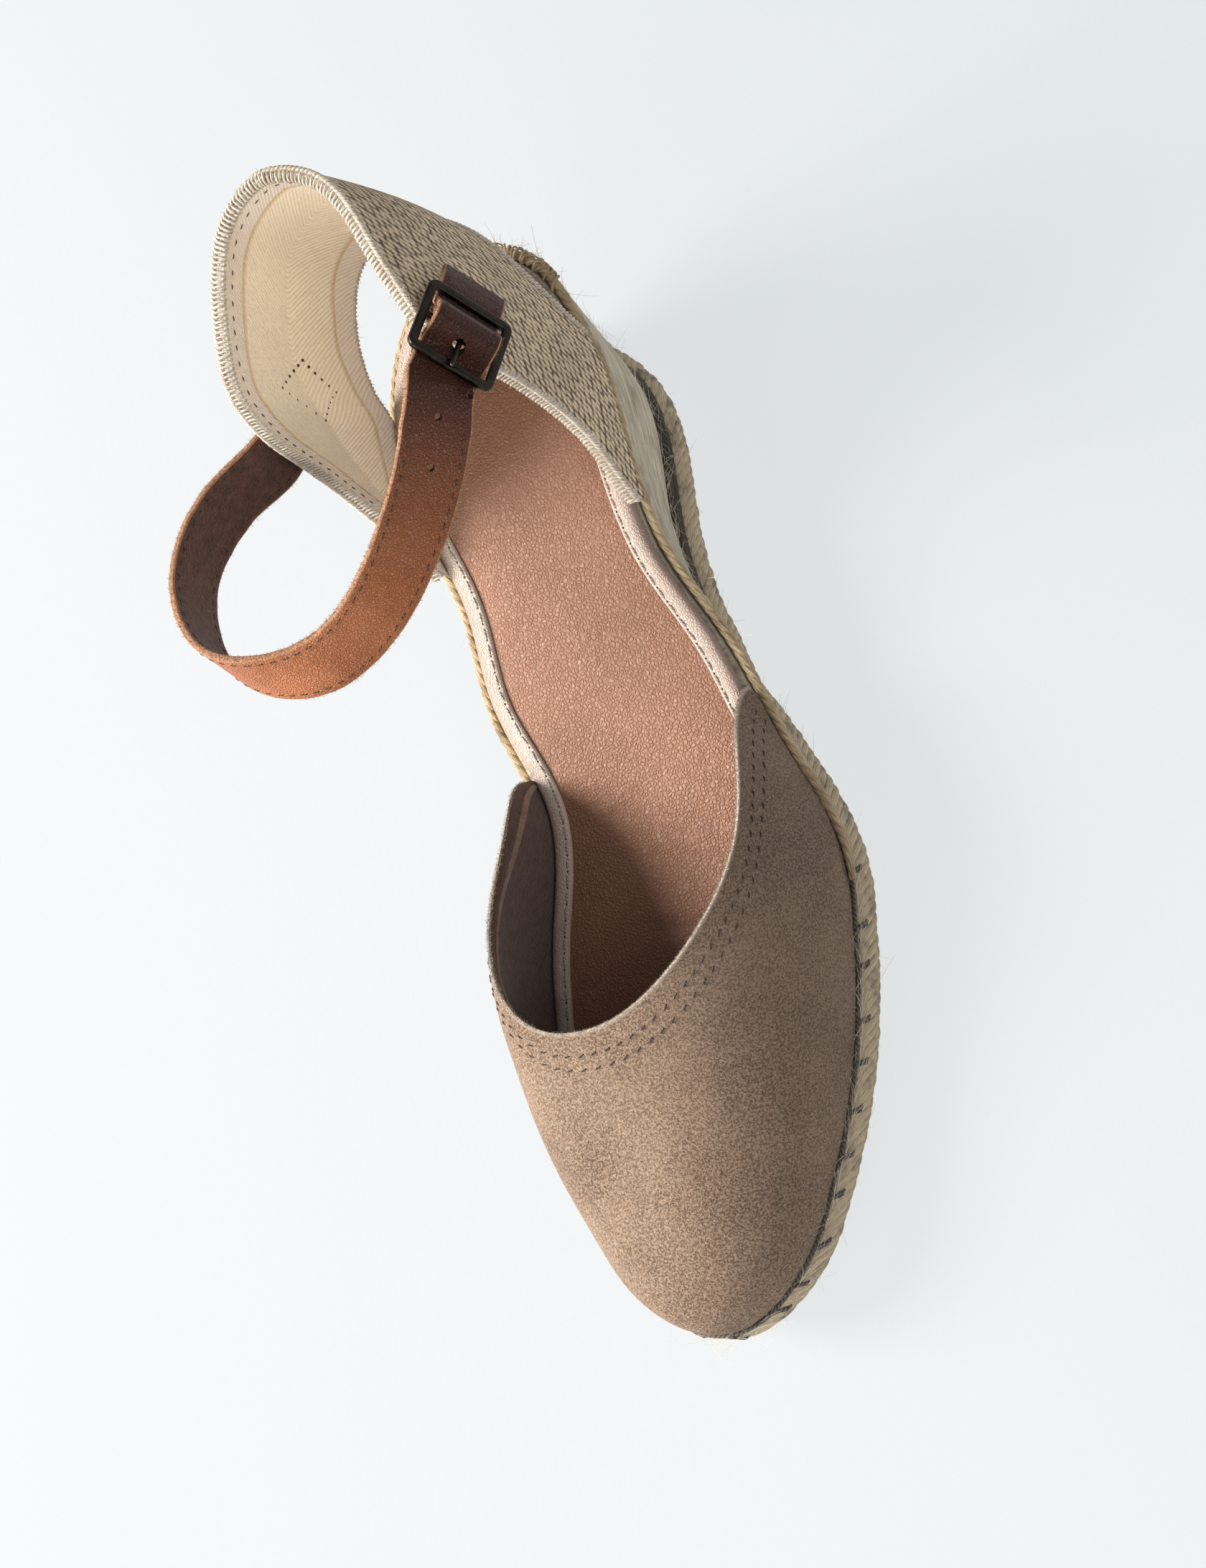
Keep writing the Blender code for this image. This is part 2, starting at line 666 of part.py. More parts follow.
def make_vamp(finish):
    """Hollow suede toe: outer surface from the sections, and a wall of real thickness inside it."""
    columns = VAMP_GRID_COLUMNS
    rows = VAMP_GRID_ROWS
    edge = np.hstack([offset_outline(UPPER_CLEARANCE + UPPER_WALL), offset_outline(UPPER_CLEARANCE)])
    lateral = edge[:TOE_INDEX + 1]
    lateral = lateral[lateral[:, 1] >= VAMP_BACK[1] * LENGTH]
    medial = edge[TOE_INDEX + 1:]
    medial = medial[medial[:, 1] >= VAMP_BACK[0] * LENGTH]
    both = resample(np.vstack([lateral, medial]), rows, keys=2)
    foot = both[:, :2]
    foot_inside = both[:, 2:]
    reach = 0.9995
    across = np.sin(np.linspace(math.pi / 2, -math.pi / 2, 121)) * reach
    throat_along = spline(THROAT_ROWS, 400, closed=False)
    throat_along = np.interp(across, throat_along[:, 0], throat_along[:, 1]) * LENGTH
    throat_x = vamp_plan(across, throat_along)
    throat_z = vamp_height(throat_x, throat_along)
    throat = resample(np.stack([throat_x, throat_along, throat_z], axis=1), rows)[:, :2]
    share = np.linspace(0.0, 1.0, columns) ** 1.8
    plan = foot[:, None, :] + (throat - foot)[:, None, :] * share[None, :, None]
    z = vamp_height(plan[..., 0], plan[..., 1])
    z[:, 0] = support(foot[:, 1]) + GAP
    outer = np.stack([plan[..., 0], -plan[..., 1], z], axis=2)
    inner = outer - vamp_normal(plan[..., 0], plan[..., 1]) * UPPER_WALL
    inner[:, 0, 0] = foot_inside[:, 0]
    inner[:, 0, 1] = -foot_inside[:, 1]
    inner[:, 0, 2] = outer[:, 0, 2]
    inner[:, 1:, 2] = np.maximum(inner[:, 1:, 2], inner[:, :1, 2] + 0.2 * MM)
    return solid("vamp", shell(outer, inner), finish, 50.0)


def outline_arc():
    closed = np.vstack([OUTLINE, OUTLINE[:1]])
    return np.concatenate([[0.0], np.cumsum(np.linalg.norm(np.diff(closed, axis=0), axis=1))])


def outline_at(arc, side):
    """Point, along and outward normal at an arc from the heel tip, on the lateral (1) or medial (-1) side."""
    lengths = outline_arc()
    if side > 0:
        index = np.interp(arc, lengths, np.arange(DENSE + 1))
    else:
        index = np.interp(lengths[-1] - arc, lengths, np.arange(DENSE + 1))
    low = int(math.floor(index))
    mix = index - low
    base = OUTLINE[low % DENSE] * (1 - mix) + OUTLINE[(low + 1) % DENSE] * mix
    normal = unit(OUTLINE_NORMAL[low % DENSE] * (1 - mix) + OUTLINE_NORMAL[(low + 1) % DENSE] * mix)
    return base, normal


def band_point(at, up, depth=0.0):
    """Point of the heel band: at from -1 (medial end) to 1 (lateral end), up from 0 to 1 across it."""
    side = 1 if at >= 0.0 else -1
    value = {}
    for k, name in enumerate(BAND_COLUMNS):
        value[name] = float(monotone(BAND_ROWS, abs(at), k)) if k else abs(at)
    arc = LENGTH * (value["arc_low"] * (1 - up) + value["arc_top"] * up)
    rise = COLLAR_RISE * (value["rise_low"] * (1 - up) + value["rise_top"] * up)
    out = value["out_low"] * (1 - up) + value["out_top"] * up + value["bulge"] * 4.0 * up * (1.0 - up)
    base, normal = outline_at(arc, side)
    moved = base + normal * (out - depth)
    share = min(rise / COLLAR_RISE, 1.0)
    z = float(support(np.clip(base[1], 0.0, LENGTH))) + GAP + rise
    return np.array([moved[0] - COLLAR_SHIFT * share, -moved[1], z])


def band_normal(at, up):
    """Outward normal of the band at a place on it."""
    step = 0.01
    along = band_point(at + step, up) - band_point(at - step, up)
    across = band_point(at, up + step) - band_point(at, up - step)
    normal = unit(np.cross(along, across))
    inside = band_point(at, up, step * COLLAR_RISE) - band_point(at, up)
    return normal if float(normal @ inside) < 0.0 else -normal


def band_grid(rows, columns):
    at = np.sin(np.linspace(-1.0, 1.0, rows) * 1.25) / math.sin(1.25)
    return np.array([[band_point(a, u) for u in np.linspace(0.0, 1.0, columns)] for a in at])


def make_band(finish):
    """Canvas band round the heel, open under its back, as one wall."""
    outer = band_grid(BAND_GRID_ROWS, BAND_GRID_COLUMNS)
    normal = unit(np.cross(np.gradient(outer, axis=0), np.gradient(outer, axis=1)))
    if normal[BAND_GRID_ROWS // 2, BAND_GRID_COLUMNS // 2][1] < 0.0:
        normal = -normal
    inner = outer - normal * BAND_WALL
    inner[:, 0, 2] = outer[:, 0, 2]
    return solid("heel_band", shell(outer, inner), finish, 50.0)


def ribbon(centres, widths, width, thickness):
    """Flat strip along centres, whose width runs along the given directions."""
    centres = np.asarray(centres, float)
    tangent = unit(np.gradient(centres, axis=0))
    across = np.asarray(widths, float)
    across = unit(across - tangent * np.sum(across * tangent, axis=1, keepdims=True))
    face = unit(np.cross(tangent, across))
    sections = []
    for c, w, n in zip(centres, across, face):
        a = w * width / 2.0
        b = n * thickness / 2.0
        sections.append(np.array([c + a + b, c - a + b, c - a - b, c + a - b]))
    return sections


def lean_direction(tangent, lean):
    """Width direction: upright, turned about the strap's own line by the lean."""
    tangent = unit(tangent)
    outward = unit(np.array([tangent[1], -tangent[0], 0.0]))
    upright = np.cross(outward, tangent)
    angle = math.radians(lean)
    return math.cos(angle) * upright + math.sin(angle) * outward


def lean_on(tangent, normal):
    """Lean in degrees at which the strap lies flat on a surface with this normal."""
    outward = unit(np.array([tangent[1], -tangent[0], 0.0]))
    upright = np.cross(outward, unit(tangent))
    return math.degrees(math.atan2(-float(normal @ upright), float(normal @ outward)))


def buckle_axes():
    """Centre of the buckle, the strap's line through it, its width and its outer face."""
    across, along, height = BUCKLE_PLACE
    centre = np.array([across * HEEL_WIDTH, -along * LENGTH, height * COLLAR_HEIGHT])
    heading = math.radians(BUCKLE_HEADING)
    dip = math.radians(BUCKLE_DIP)
    line = np.array([math.sin(heading) * math.cos(dip), math.cos(heading) * math.cos(dip), -math.sin(dip)])
    width = lean_direction(line, BUCKLE_LEAN)
    face = np.cross(line, width)
    return centre, line, width, face


def strap_level():
    """Heights of the strap over the buckle's plane: under the end bars, and over prong and centre bar."""
    half = BUCKLE_THICKNESS / 2.0
    under = -(half + GAP + STRAP_THICKNESS / 2.0)
    over = half + 2.0 * GAP + 2.0 * PRONG_RADIUS + STRAP_THICKNESS / 2.0
    return under, over


def strap_path(samples=90):
    """Centre line and width directions, from the medial seam to the tail past the buckle."""
    points = []
    leans = []
    for across, along, height, lean in STRAP_ROWS:
        points.append(np.array([across * HEEL_WIDTH, -along * LENGTH, height * COLLAR_HEIGHT]))
        leans.append(lean)
    centre, line, width, face = buckle_axes()
    under, over = strap_level()
    bar = BUCKLE_LENGTH / 2.0 - BUCKLE_BAR / 2.0
    near = bar + 0.5 * BUCKLE_BAR + 0.15 * MM
    window = BUCKLE_CENTRE_BAR / 2.0
    points += [centre - line * (near + 3.0 * MM) + face * under]
    leans += [BUCKLE_LEAN]
    lift = STRAP_THICKNESS / 2.0 + SEAM_CLEARANCE
    seam = [band_point(at, up) + lift * band_normal(at, up) for at, up in STRAP_SEAM]
    heading = seam[-1] - seam[0]
    points = seam + points
    leans = [lean_on(heading, band_normal(at, up)) for at, up in STRAP_SEAM] + leans
    data = np.hstack([np.array(points), np.array(leans)[:, None] * LEAN_WEIGHT])
    curve = spline(data, samples, closed=False)
    path = curve[:, :3]
    lean = curve[:, 3] / LEAN_WEIGHT
    tangent = unit(np.gradient(path, axis=0))
    widths = [lean_direction(t, a) for t, a in zip(tangent, lean)]
    local = np.linspace(-near, near, 17)
    for t in local:
        rise = 1.0 - float(smooth(window, bar - BUCKLE_BAR / 2.0 - 0.1 * MM, abs(t)))
        path = np.vstack([path, centre + line * t + face * (under + (over - under) * rise)])
        widths.append(width)
    for k in range(1, 4):
        t = near + STRAP_TAIL * k / 3.0
        path = np.vstack([path, centre + line * t + face * (under - TAIL_DIP * (k / 3.0) ** 2)])
        widths.append(width)
    return path, np.array(widths)


def cutter(name, centre, direction, radius, depth):
    """Round punch through a strap."""
    mesh = bpy.data.meshes.new(name)
    work = bmesh.new()
    bmesh.ops.create_cone(work, cap_ends=True, segments=10, radius1=radius, radius2=radius, depth=depth)
    work.to_mesh(mesh)
    work.free()
    item = bpy.data.objects.new(name, mesh)
    item.location = Vector(centre) + Vector((0.0, HEEL_REST_ALONG, 0.0))
    item.rotation_mode = "QUATERNION"
    item.rotation_quaternion = Vector(direction).to_track_quat("Z", "Y")
    item.hide_render = True
    item.display_type = "WIRE"
    bpy.context.scene.collection.objects.link(item)
    return item


def punch(item, tool):
    cut = item.modifiers.new(tool.name, "BOOLEAN")
    cut.operation = "DIFFERENCE"
    cut.solver = "EXACT"
    cut.object = tool


def prong_crossing():
    """Where the prong passes up through the strap, measured back from the buckle's centre."""
    return -0.42 * BUCKLE_LENGTH / 2.0


def make_strap(finish):
    path, widths = strap_path()
    item = solid("ankle_strap", sweep(ribbon(path, widths, STRAP_WIDTH, STRAP_THICKNESS)), finish, 35.0)
    centre, line, width, face = buckle_axes()
    depth = 3.5 * STRAP_THICKNESS
    lift = PRONG_LEVEL * (BUCKLE_THICKNESS / 2.0 + GAP + PRONG_RADIUS)
    slot = cutter("cut_prong_hole", centre + line * prong_crossing() + face * lift, line, PRONG_HOLE_RADIUS, depth)
    punch(item, slot)
    length = np.concatenate([[0.0], np.cumsum(np.linalg.norm(np.diff(path, axis=0), axis=1))])
    distance = np.linalg.norm(path - (centre + line * prong_crossing()), axis=1)
    start = length[int(np.argmin(distance))]
    tangent = unit(np.gradient(path, axis=0))
    for k in range(2):
        at = start - FIRST_HOLE - k * HOLE_SPACING
        place = np.array([np.interp(at, length, path[:, c]) for c in range(3)])
        i = int(np.argmin(np.abs(length - at)))
        normal = np.cross(tangent[i], widths[i])
        punch(item, cutter("cut_hole_%d" % (k + 1), place, normal, HOLE_RADIUS, depth / 2.0))
    return item


def make_buckle_frame(finish):
    """Rectangular frame with a centre bar, cut from one plate, edges rounded."""
    centre, line, width, face = buckle_axes()
    wide = BUCKLE_WIDTH / 2.0
    long = BUCKLE_LENGTH / 2.0
    across = (-wide, -wide + BUCKLE_BAR, wide - BUCKLE_BAR, wide)
    along = (-long, -long + BUCKLE_BAR, -BUCKLE_CENTRE_BAR / 2.0, BUCKLE_CENTRE_BAR / 2.0,
             long - BUCKLE_BAR, long)
    work = bmesh.new()
    grid = [[work.verts.new((a, b, -BUCKLE_THICKNESS / 2.0)) for b in along] for a in across]
    for i in range(3):
        for j in range(5):
            if i == 1 and j in (1, 3):
                continue
            work.faces.new((grid[i][j], grid[i + 1][j], grid[i + 1][j + 1], grid[i][j + 1]))
    top = bmesh.ops.extrude_face_region(work, geom=list(work.faces))
    moved = [v for v in top["geom"] if isinstance(v, bmesh.types.BMVert)]
    bmesh.ops.translate(work, verts=moved, vec=(0.0, 0.0, BUCKLE_THICKNESS))
    bmesh.ops.recalc_face_normals(work, faces=work.faces)
    sharp = [e for e in work.edges if e.calc_face_angle(0.0) > 1.0]
    bmesh.ops.bevel(work, geom=sharp, offset=0.3 * MM, segments=1, affect="EDGES", clamp_overlap=True)
    verts = [centre + width * v.co.x + line * v.co.y + face * v.co.z for v in work.verts]
    work.verts.index_update()
    faces = [tuple(v.index for v in f.verts) for f in work.faces]
    work.free()
    return solid("buckle_frame", (verts, faces), finish, 30.0)


def make_prong(finish):
    """Round pin over the centre bar, forward through the strap's hole and onto the near bar."""
    centre, line, width, face = buckle_axes()
    half = BUCKLE_THICKNESS / 2.0
    lift = half + GAP + PRONG_RADIUS
    bar = BUCKLE_LENGTH / 2.0 - BUCKLE_BAR / 2.0
    route = ((0.9 * BUCKLE_CENTRE_BAR, 0.55 * lift), (0.5 * BUCKLE_CENTRE_BAR, 0.95 * lift), (0.0, lift),
             (-0.2 * bar, 0.95 * lift), (-0.5 * bar, PRONG_LEVEL * lift), (-0.75 * bar, 0.95 * lift),
             (-bar, lift), (-bar - 0.55 * BUCKLE_BAR, 0.92 * lift))
    points = [centre + line * a + face * b for a, b in route]
    curve = spline(points, 15, closed=False)
    tangent = unit(np.gradient(curve, axis=0))
    sides = 8
    sections = []
    for c, t in zip(curve, tangent):
        up = np.cross(width, t)
        turn = [2.0 * math.pi * (k + 0.5) / sides for k in range(sides)]
        sections.append(np.array([c + PRONG_RADIUS * (math.cos(a) * width + math.sin(a) * up) for a in turn]))
    return solid("buckle_prong", sweep(sections), finish, 60.0)


def make_tab(finish):
    """Leather strip that holds the centre bar from below and is sewn to the band."""
    centre, line, width, face = buckle_axes()
    half = BUCKLE_THICKNESS / 2.0
    under = strap_level()[0]
    seat = -(half + GAP + TAB_THICKNESS / 2.0)
    below_strap = under - STRAP_THICKNESS / 2.0 - GAP - TAB_THICKNESS / 2.0
    bar = BUCKLE_LENGTH / 2.0
    local = ((-1.0 * MM, seat), (1.2 * MM, seat - 0.1 * MM), (0.35 * bar, seat - 0.9 * MM),
             (0.7 * bar, below_strap - 0.5 * MM), (1.0 * bar, below_strap - 2.4 * MM))
    points = [centre + line * a + face * b for a, b in local]
    widths = [width] * len(points)
    lay = TAB_THICKNESS / 2.0 + 2.2 * SEAM_CLEARANCE
    for at, up in TAB_SEAM:
        normal = band_normal(at, up)
        points.append(band_point(at, up) + lay * normal)
        widths.append(unit(width - normal * float(width @ normal)))
    curve = spline(points, 26, closed=False)
    step = np.linspace(0.0, len(points) - 1.0, 26)
    blend = np.array([np.interp(step, np.arange(len(points)), np.array(widths)[:, c]) for c in range(3)]).T
    return solid("buckle_tab", sweep(ribbon(curve, blend, TAB_WIDTH, TAB_THICKNESS)), finish, 35.0)


def main():
    for item in list(bpy.data.objects):
        bpy.data.objects.remove(item, do_unlink=True)
    make_outsole(material("jute_sole", (0.52, 0.43, 0.30), 0.95))
    make_wedge(material("jute_wedge", (0.60, 0.51, 0.37), 0.95))
    make_cord(material("jute_cord", (0.62, 0.46, 0.25), 0.9))
    make_insole(material("sock_leather", (0.72, 0.43, 0.30), 0.45))
    make_binding(material("rand_leather", (0.72, 0.66, 0.62), 0.5))
    make_vamp(material("suede", (0.35, 0.26, 0.20), 0.95))
    make_band(material("canvas", (0.48, 0.43, 0.36), 0.95))
    make_strap(material("strap_leather", (0.42, 0.18, 0.08), 0.5))
    make_tab(material("tab_leather", (0.20, 0.09, 0.05), 0.55))
    make_buckle_frame(material("bronze_frame", (0.16, 0.12, 0.09), 0.4, 0.9))
    make_prong(material("bronze_prong", (0.20, 0.15, 0.11), 0.4, 0.9))


main()
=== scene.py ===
"""Looks of the wedge espadrille, left shoe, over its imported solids.

Metres, +Z up, toe towards -Y, the wearer's outer side towards +X, as in the solids.
The first part repeats the shoe's sizes and form, so that each detailed piece lies where its solid
lies. The pieces follow, from the sole up, then the floor, the lights and the camera.
"""
import math

import bmesh
import bpy
import numpy as np
from mathutils import Matrix, Vector

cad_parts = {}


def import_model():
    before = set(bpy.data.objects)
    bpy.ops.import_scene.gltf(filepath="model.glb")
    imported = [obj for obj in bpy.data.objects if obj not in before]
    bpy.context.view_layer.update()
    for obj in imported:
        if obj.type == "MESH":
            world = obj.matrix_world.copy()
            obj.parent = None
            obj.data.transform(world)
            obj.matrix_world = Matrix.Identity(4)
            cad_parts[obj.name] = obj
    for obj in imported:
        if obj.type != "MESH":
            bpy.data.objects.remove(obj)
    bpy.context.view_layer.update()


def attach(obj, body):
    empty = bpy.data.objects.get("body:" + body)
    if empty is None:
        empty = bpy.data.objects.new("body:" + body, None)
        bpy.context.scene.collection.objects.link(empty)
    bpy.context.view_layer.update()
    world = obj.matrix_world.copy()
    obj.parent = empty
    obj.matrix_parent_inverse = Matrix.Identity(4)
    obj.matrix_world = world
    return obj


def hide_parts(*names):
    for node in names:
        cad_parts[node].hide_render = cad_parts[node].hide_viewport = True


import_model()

MM = 0.001

# Driving sizes of the shoe
LENGTH = 248.0 * MM
HEEL_REST_ALONG = 30.0 * MM
BALL_WIDTH = 78.0 * MM
HEEL_WIDTH = 54.0 * MM
HEEL_LIFT = 36.0 * MM
OUTSOLE_THICKNESS = 11.0 * MM
TOE_SPRING = 9.0 * MM
SHANK_LIFT = 1.0 * MM
INSOLE_THICKNESS = 1.8 * MM
BINDING_WIDTH = 4.8 * MM
BINDING_THICKNESS = 2.3 * MM
UPPER_WALL = 1.8 * MM
INSTEP_HEIGHT = 55.0 * MM
CORD_RADIUS = 1.2 * MM
BAND_WALL = 2.4 * MM
COLLAR_RISE = 72.0 * MM
COLLAR_HEIGHT = 119.0 * MM
STRAP_WIDTH = 15.0 * MM
STRAP_THICKNESS = 1.6 * MM
TAB_WIDTH = 12.0 * MM
TAB_THICKNESS = 1.2 * MM
BUCKLE_WIDTH = 20.0 * MM
BUCKLE_LENGTH = 18.5 * MM
BUCKLE_BAR = 2.0 * MM
BUCKLE_CENTRE_BAR = 1.6 * MM
BUCKLE_THICKNESS = 1.4 * MM
PRONG_RADIUS = 0.6 * MM
PRONG_LEVEL = 0.85
HOLE_RADIUS = 0.8 * MM
PRONG_HOLE_RADIUS = 1.5 * MM
HOLE_SPACING = 10.6 * MM
FIRST_HOLE = 15.0 * MM
GAP = 0.3 * MM
UPPER_CLEARANCE = 0.5 * MM
SEAM_CLEARANCE = 0.5 * MM

# Plan of the insole edge: share of the length, then half widths inwards and outwards from the
# straight heel to toe line, as shares of the heel width at the back and of the ball width in front
PLAN_ROWS = (
    (0.030, 0.278, 0.289),
    (0.080, 0.424, 0.411),
    (0.140, 0.500, 0.485),
    (0.220, 0.507, 0.478),
    (0.310, 0.468, 0.467),
    (0.400, 0.363, 0.418),
    (0.500, 0.302, 0.462),
    (0.600, 0.402, 0.533),
    (0.680, 0.476, 0.513),
    (0.760, 0.498, 0.456),
    (0.840, 0.459, 0.370),
    (0.910, 0.372, 0.266),
    (0.960, 0.281, 0.163),
)
HEEL_TIP_SHARE = 0.003
TOE_TIP_SHARE = -0.067
WIDTH_BLEND = (0.30, 0.42)

# Height of the wedge above the outsole: share of the length, share of the heel lift
WEDGE_ROWS = (
    (0.00, 1.000),
    (0.10, 0.985),
    (0.20, 0.875),
    (0.30, 0.620),
    (0.40, 0.385),
    (0.50, 0.195),
    (0.60, 0.062),
    (0.68, 0.000),
)
WEDGE_END = 0.645
SPRING_START = 0.72
SHANK_SPAN = (0.22, 0.60)

# How far each edge of the sole stands out past the insole edge, from heel to toe
SOLE_OUT_ROWS = (
    (0.000, -7.4 * MM),
    (0.045, -7.6 * MM),
    (0.080, -5.0 * MM),
    (0.120, -2.8 * MM),
    (0.200, -1.6 * MM),
    (0.300, -1.5 * MM),
    (0.360, -2.8 * MM),
    (0.420, -3.6 * MM),
    (0.460, -1.2 * MM),
    (0.500, 1.2 * MM),
    (0.560, 2.8 * MM),
    (0.660, 3.7 * MM),
    (1.000, 3.5 * MM),
)
SIDE_BULGE = 0.6 * MM
WEDGE_FOOT_INSET = 1.2 * MM
WEDGE_TOP_BEYOND = 0.5 * MM
CORD_DROP = 1.4 * MM
CORD_END_RADIUS = 0.9 * MM
# How far out of the insole edge the cord lies, from heel to toe
CORD_OUT_ROWS = (
    (0.00, 1.9 * MM),
    (0.36, 1.9 * MM),
    (0.50, 3.0 * MM),
    (1.00, 3.0 * MM),
)

# Ridge height of the toe vamp over the outsole: share of the length, share of the instep height
VAMP_ROWS = (
    (0.42, 1.130),
    (0.50, 1.055),
    (0.58, 1.000),
    (0.66, 0.910),
    (0.74, 0.745),
    (0.82, 0.573),
    (0.90, 0.440),
    (0.95, 0.392),
    (1.02, 0.355),
)
TOE_ROUND_START = 0.90
TOE_ROUND_POWER = 2.2
SECTION_POWER = 2.26
RIDGE_SHIFT = 0.20
# Throat line of the vamp: place across the section from medial to lateral, share of the length
THROAT_ROWS = (
    (-1.00, 0.470),
    (-0.70, 0.630),
    (-0.35, 0.710),
    (0.00, 0.730),
    (0.35, 0.718),
    (0.70, 0.655),
    (0.88, 0.560),
    (1.00, 0.455),
)
VAMP_BACK = (0.465, 0.455)

# Heel band, from the back centre to its sewn end, the same on both sides.
# Arcs run along the insole edge from the heel tip as shares of the length. Rises are shares of
# the collar rise over the sole. The last columns are offsets past the insole edge and the bulge.
BAND_COLUMNS = ("at", "arc_low", "rise_low", "out_low", "arc_top", "rise_top", "out_top", "bulge")
BAND_ROWS = (
    (0.00, 0.000, 0.370, 2.4 * MM, 0.000, 1.000, 1.0 * MM, 1.6 * MM),
    (0.20, 0.044, 0.345, 2.4 * MM, 0.052, 0.986, 0.2 * MM, 1.6 * MM),
    (0.40, 0.085, 0.280, 2.4 * MM, 0.105, 0.960, -1.8 * MM, 1.4 * MM),
    (0.58, 0.121, 0.200, 2.6 * MM, 0.158, 0.930, -3.0 * MM, 1.2 * MM),
    (0.72, 0.151, 0.110, 2.8 * MM, 0.201, 0.890, -2.6 * MM, 0.8 * MM),
    (0.82, 0.178, 0.010, 2.8 * MM, 0.227, 0.740, -0.6 * MM, 0.3 * MM),
    (0.90, 0.222, 0.000, 2.8 * MM, 0.244, 0.490, 1.4 * MM, 0.0 * MM),
    (0.96, 0.270, 0.000, 2.8 * MM, 0.274, 0.230, 2.6 * MM, 0.0 * MM),
    (1.00, 0.318, 0.000, 2.8 * MM, 0.324, 0.050, 2.8 * MM, 0.0 * MM),
)
COLLAR_SHIFT = 2.5 * MM

# Strap from its seam on the medial side of the band, round the front, to the buckle:
# across as a share of the heel width, along of the length, height of the collar height, and
# the lean of its width from upright in degrees
STRAP_ROWS = (
    (-0.655, 0.178, 0.724, 16.0),
    (-0.796, 0.206, 0.773, 17.0),
    (-0.938, 0.250, 0.820, 6.0),
    (-0.985, 0.296, 0.845, -2.0),
    (-0.926, 0.347, 0.860, -11.0),
    (-0.760, 0.381, 0.864, -22.0),
    (-0.480, 0.395, 0.853, -32.0),
    (-0.176, 0.377, 0.861, -29.0),
    (0.111, 0.333, 0.891, -32.0),
    (0.333, 0.278, 0.920, -38.0),
)
# The strap's seam on the outside of the band, as places along and across the band
STRAP_SEAM = ((-0.64, 0.42), (-0.70, 0.47), (-0.76, 0.54))

# Buckle: its place, as for the strap, then the heading of the strap through it, its dip
# and the lean of its width, in degrees
BUCKLE_PLACE = (0.555, 0.184, 0.908)
BUCKLE_HEADING = 12.0
BUCKLE_DIP = 31.0
BUCKLE_LEAN = -30.0
TAB_SEAM = ((0.73, 0.79), (0.67, 0.75))
STRAP_TAIL = 7.5 * MM
TAIL_DIP = 1.6 * MM

DENSE = 360
RING_COUNT = 42
LEAN_WEIGHT = 0.2 * MM


def monotone(rows, x, column=1):
    """Smooth curve through rows of (position, value ...), with no overshoot."""
    px = np.array([row[0] for row in rows], float)
    py = np.array([row[column] for row in rows], float)
    step = np.diff(px)
    slope = np.diff(py) / step
    tangent = np.zeros_like(py)
    tangent[0] = slope[0]
    tangent[-1] = slope[-1]
    for i in range(1, len(px) - 1):
        if slope[i - 1] * slope[i] > 0.0:
            weight_a = 2.0 * step[i] + step[i - 1]
            weight_b = step[i] + 2.0 * step[i - 1]
            tangent[i] = (weight_a + weight_b) / (weight_a / slope[i - 1] + weight_b / slope[i])
    x = np.clip(np.asarray(x, float), px[0], px[-1])
    i = np.clip(np.searchsorted(px, x, side="right") - 1, 0, len(step) - 1)
    t = (x - px[i]) / step[i]
    return (py[i] * (1 + 2 * t) * (1 - t) ** 2 + py[i + 1] * t * t * (3 - 2 * t)
            + step[i] * (tangent[i] * t * (1 - t) ** 2 + tangent[i + 1] * t * t * (t - 1)))


def smooth(low, high, x):
    t = np.clip((np.asarray(x, float) - low) / (high - low), 0.0, 1.0)
    return t * t * (3.0 - 2.0 * t)


def spline(points, samples, closed):
    """Cubic spline through points, spaced by chord, sampled evenly in its parameter."""
    points = np.asarray(points, float)
    if closed:
        points = np.vstack([points, points[:1]])
    knots = np.concatenate([[0.0], np.cumsum(np.sqrt(np.linalg.norm(np.diff(points, axis=0), axis=1)))])
    step = np.diff(knots)
    count = len(points)
    slope = np.diff(points, axis=0) / step[:, None]
    matrix = np.zeros((count, count))
    right = np.zeros_like(points)
    for i in range(1, count - 1):
        matrix[i, i - 1] = step[i]
        matrix[i, i] = 2.0 * (step[i - 1] + step[i])
        matrix[i, i + 1] = step[i - 1]
        right[i] = 3.0 * (step[i] * slope[i - 1] + step[i - 1] * slope[i])
    if closed:
        matrix[0, 0] = 2.0 * (step[-1] + step[0])
        matrix[0, 1] = step[-1]
        matrix[0, count - 2] = step[0]
        right[0] = 3.0 * (step[0] * slope[-1] + step[-1] * slope[0])
        matrix[-1, 0] = 1.0
        matrix[-1, -1] = -1.0
    else:
        matrix[0, 0] = 2.0
        matrix[0, 1] = 1.0
        right[0] = 3.0 * slope[0]
        matrix[-1, -1] = 2.0
        matrix[-1, -2] = 1.0
        right[-1] = 3.0 * slope[-1]
    tangent = np.linalg.solve(matrix, right)
    at = np.linspace(0.0, knots[-1], samples + 1 if closed else samples)
    if closed:
        at = at[:-1]
    i = np.clip(np.searchsorted(knots, at, side="right") - 1, 0, len(step) - 1)
    t = ((at - knots[i]) / step[i])[:, None]
    width = step[i][:, None]
    return (points[i] * (1 + 2 * t) * (1 - t) ** 2 + points[i + 1] * t * t * (3 - 2 * t)
            + width * (tangent[i] * t * (1 - t) ** 2 + tangent[i + 1] * t * t * (t - 1)))


def unit(vectors):
    vectors = np.asarray(vectors, float)
    return vectors / np.linalg.norm(vectors, axis=-1, keepdims=True)


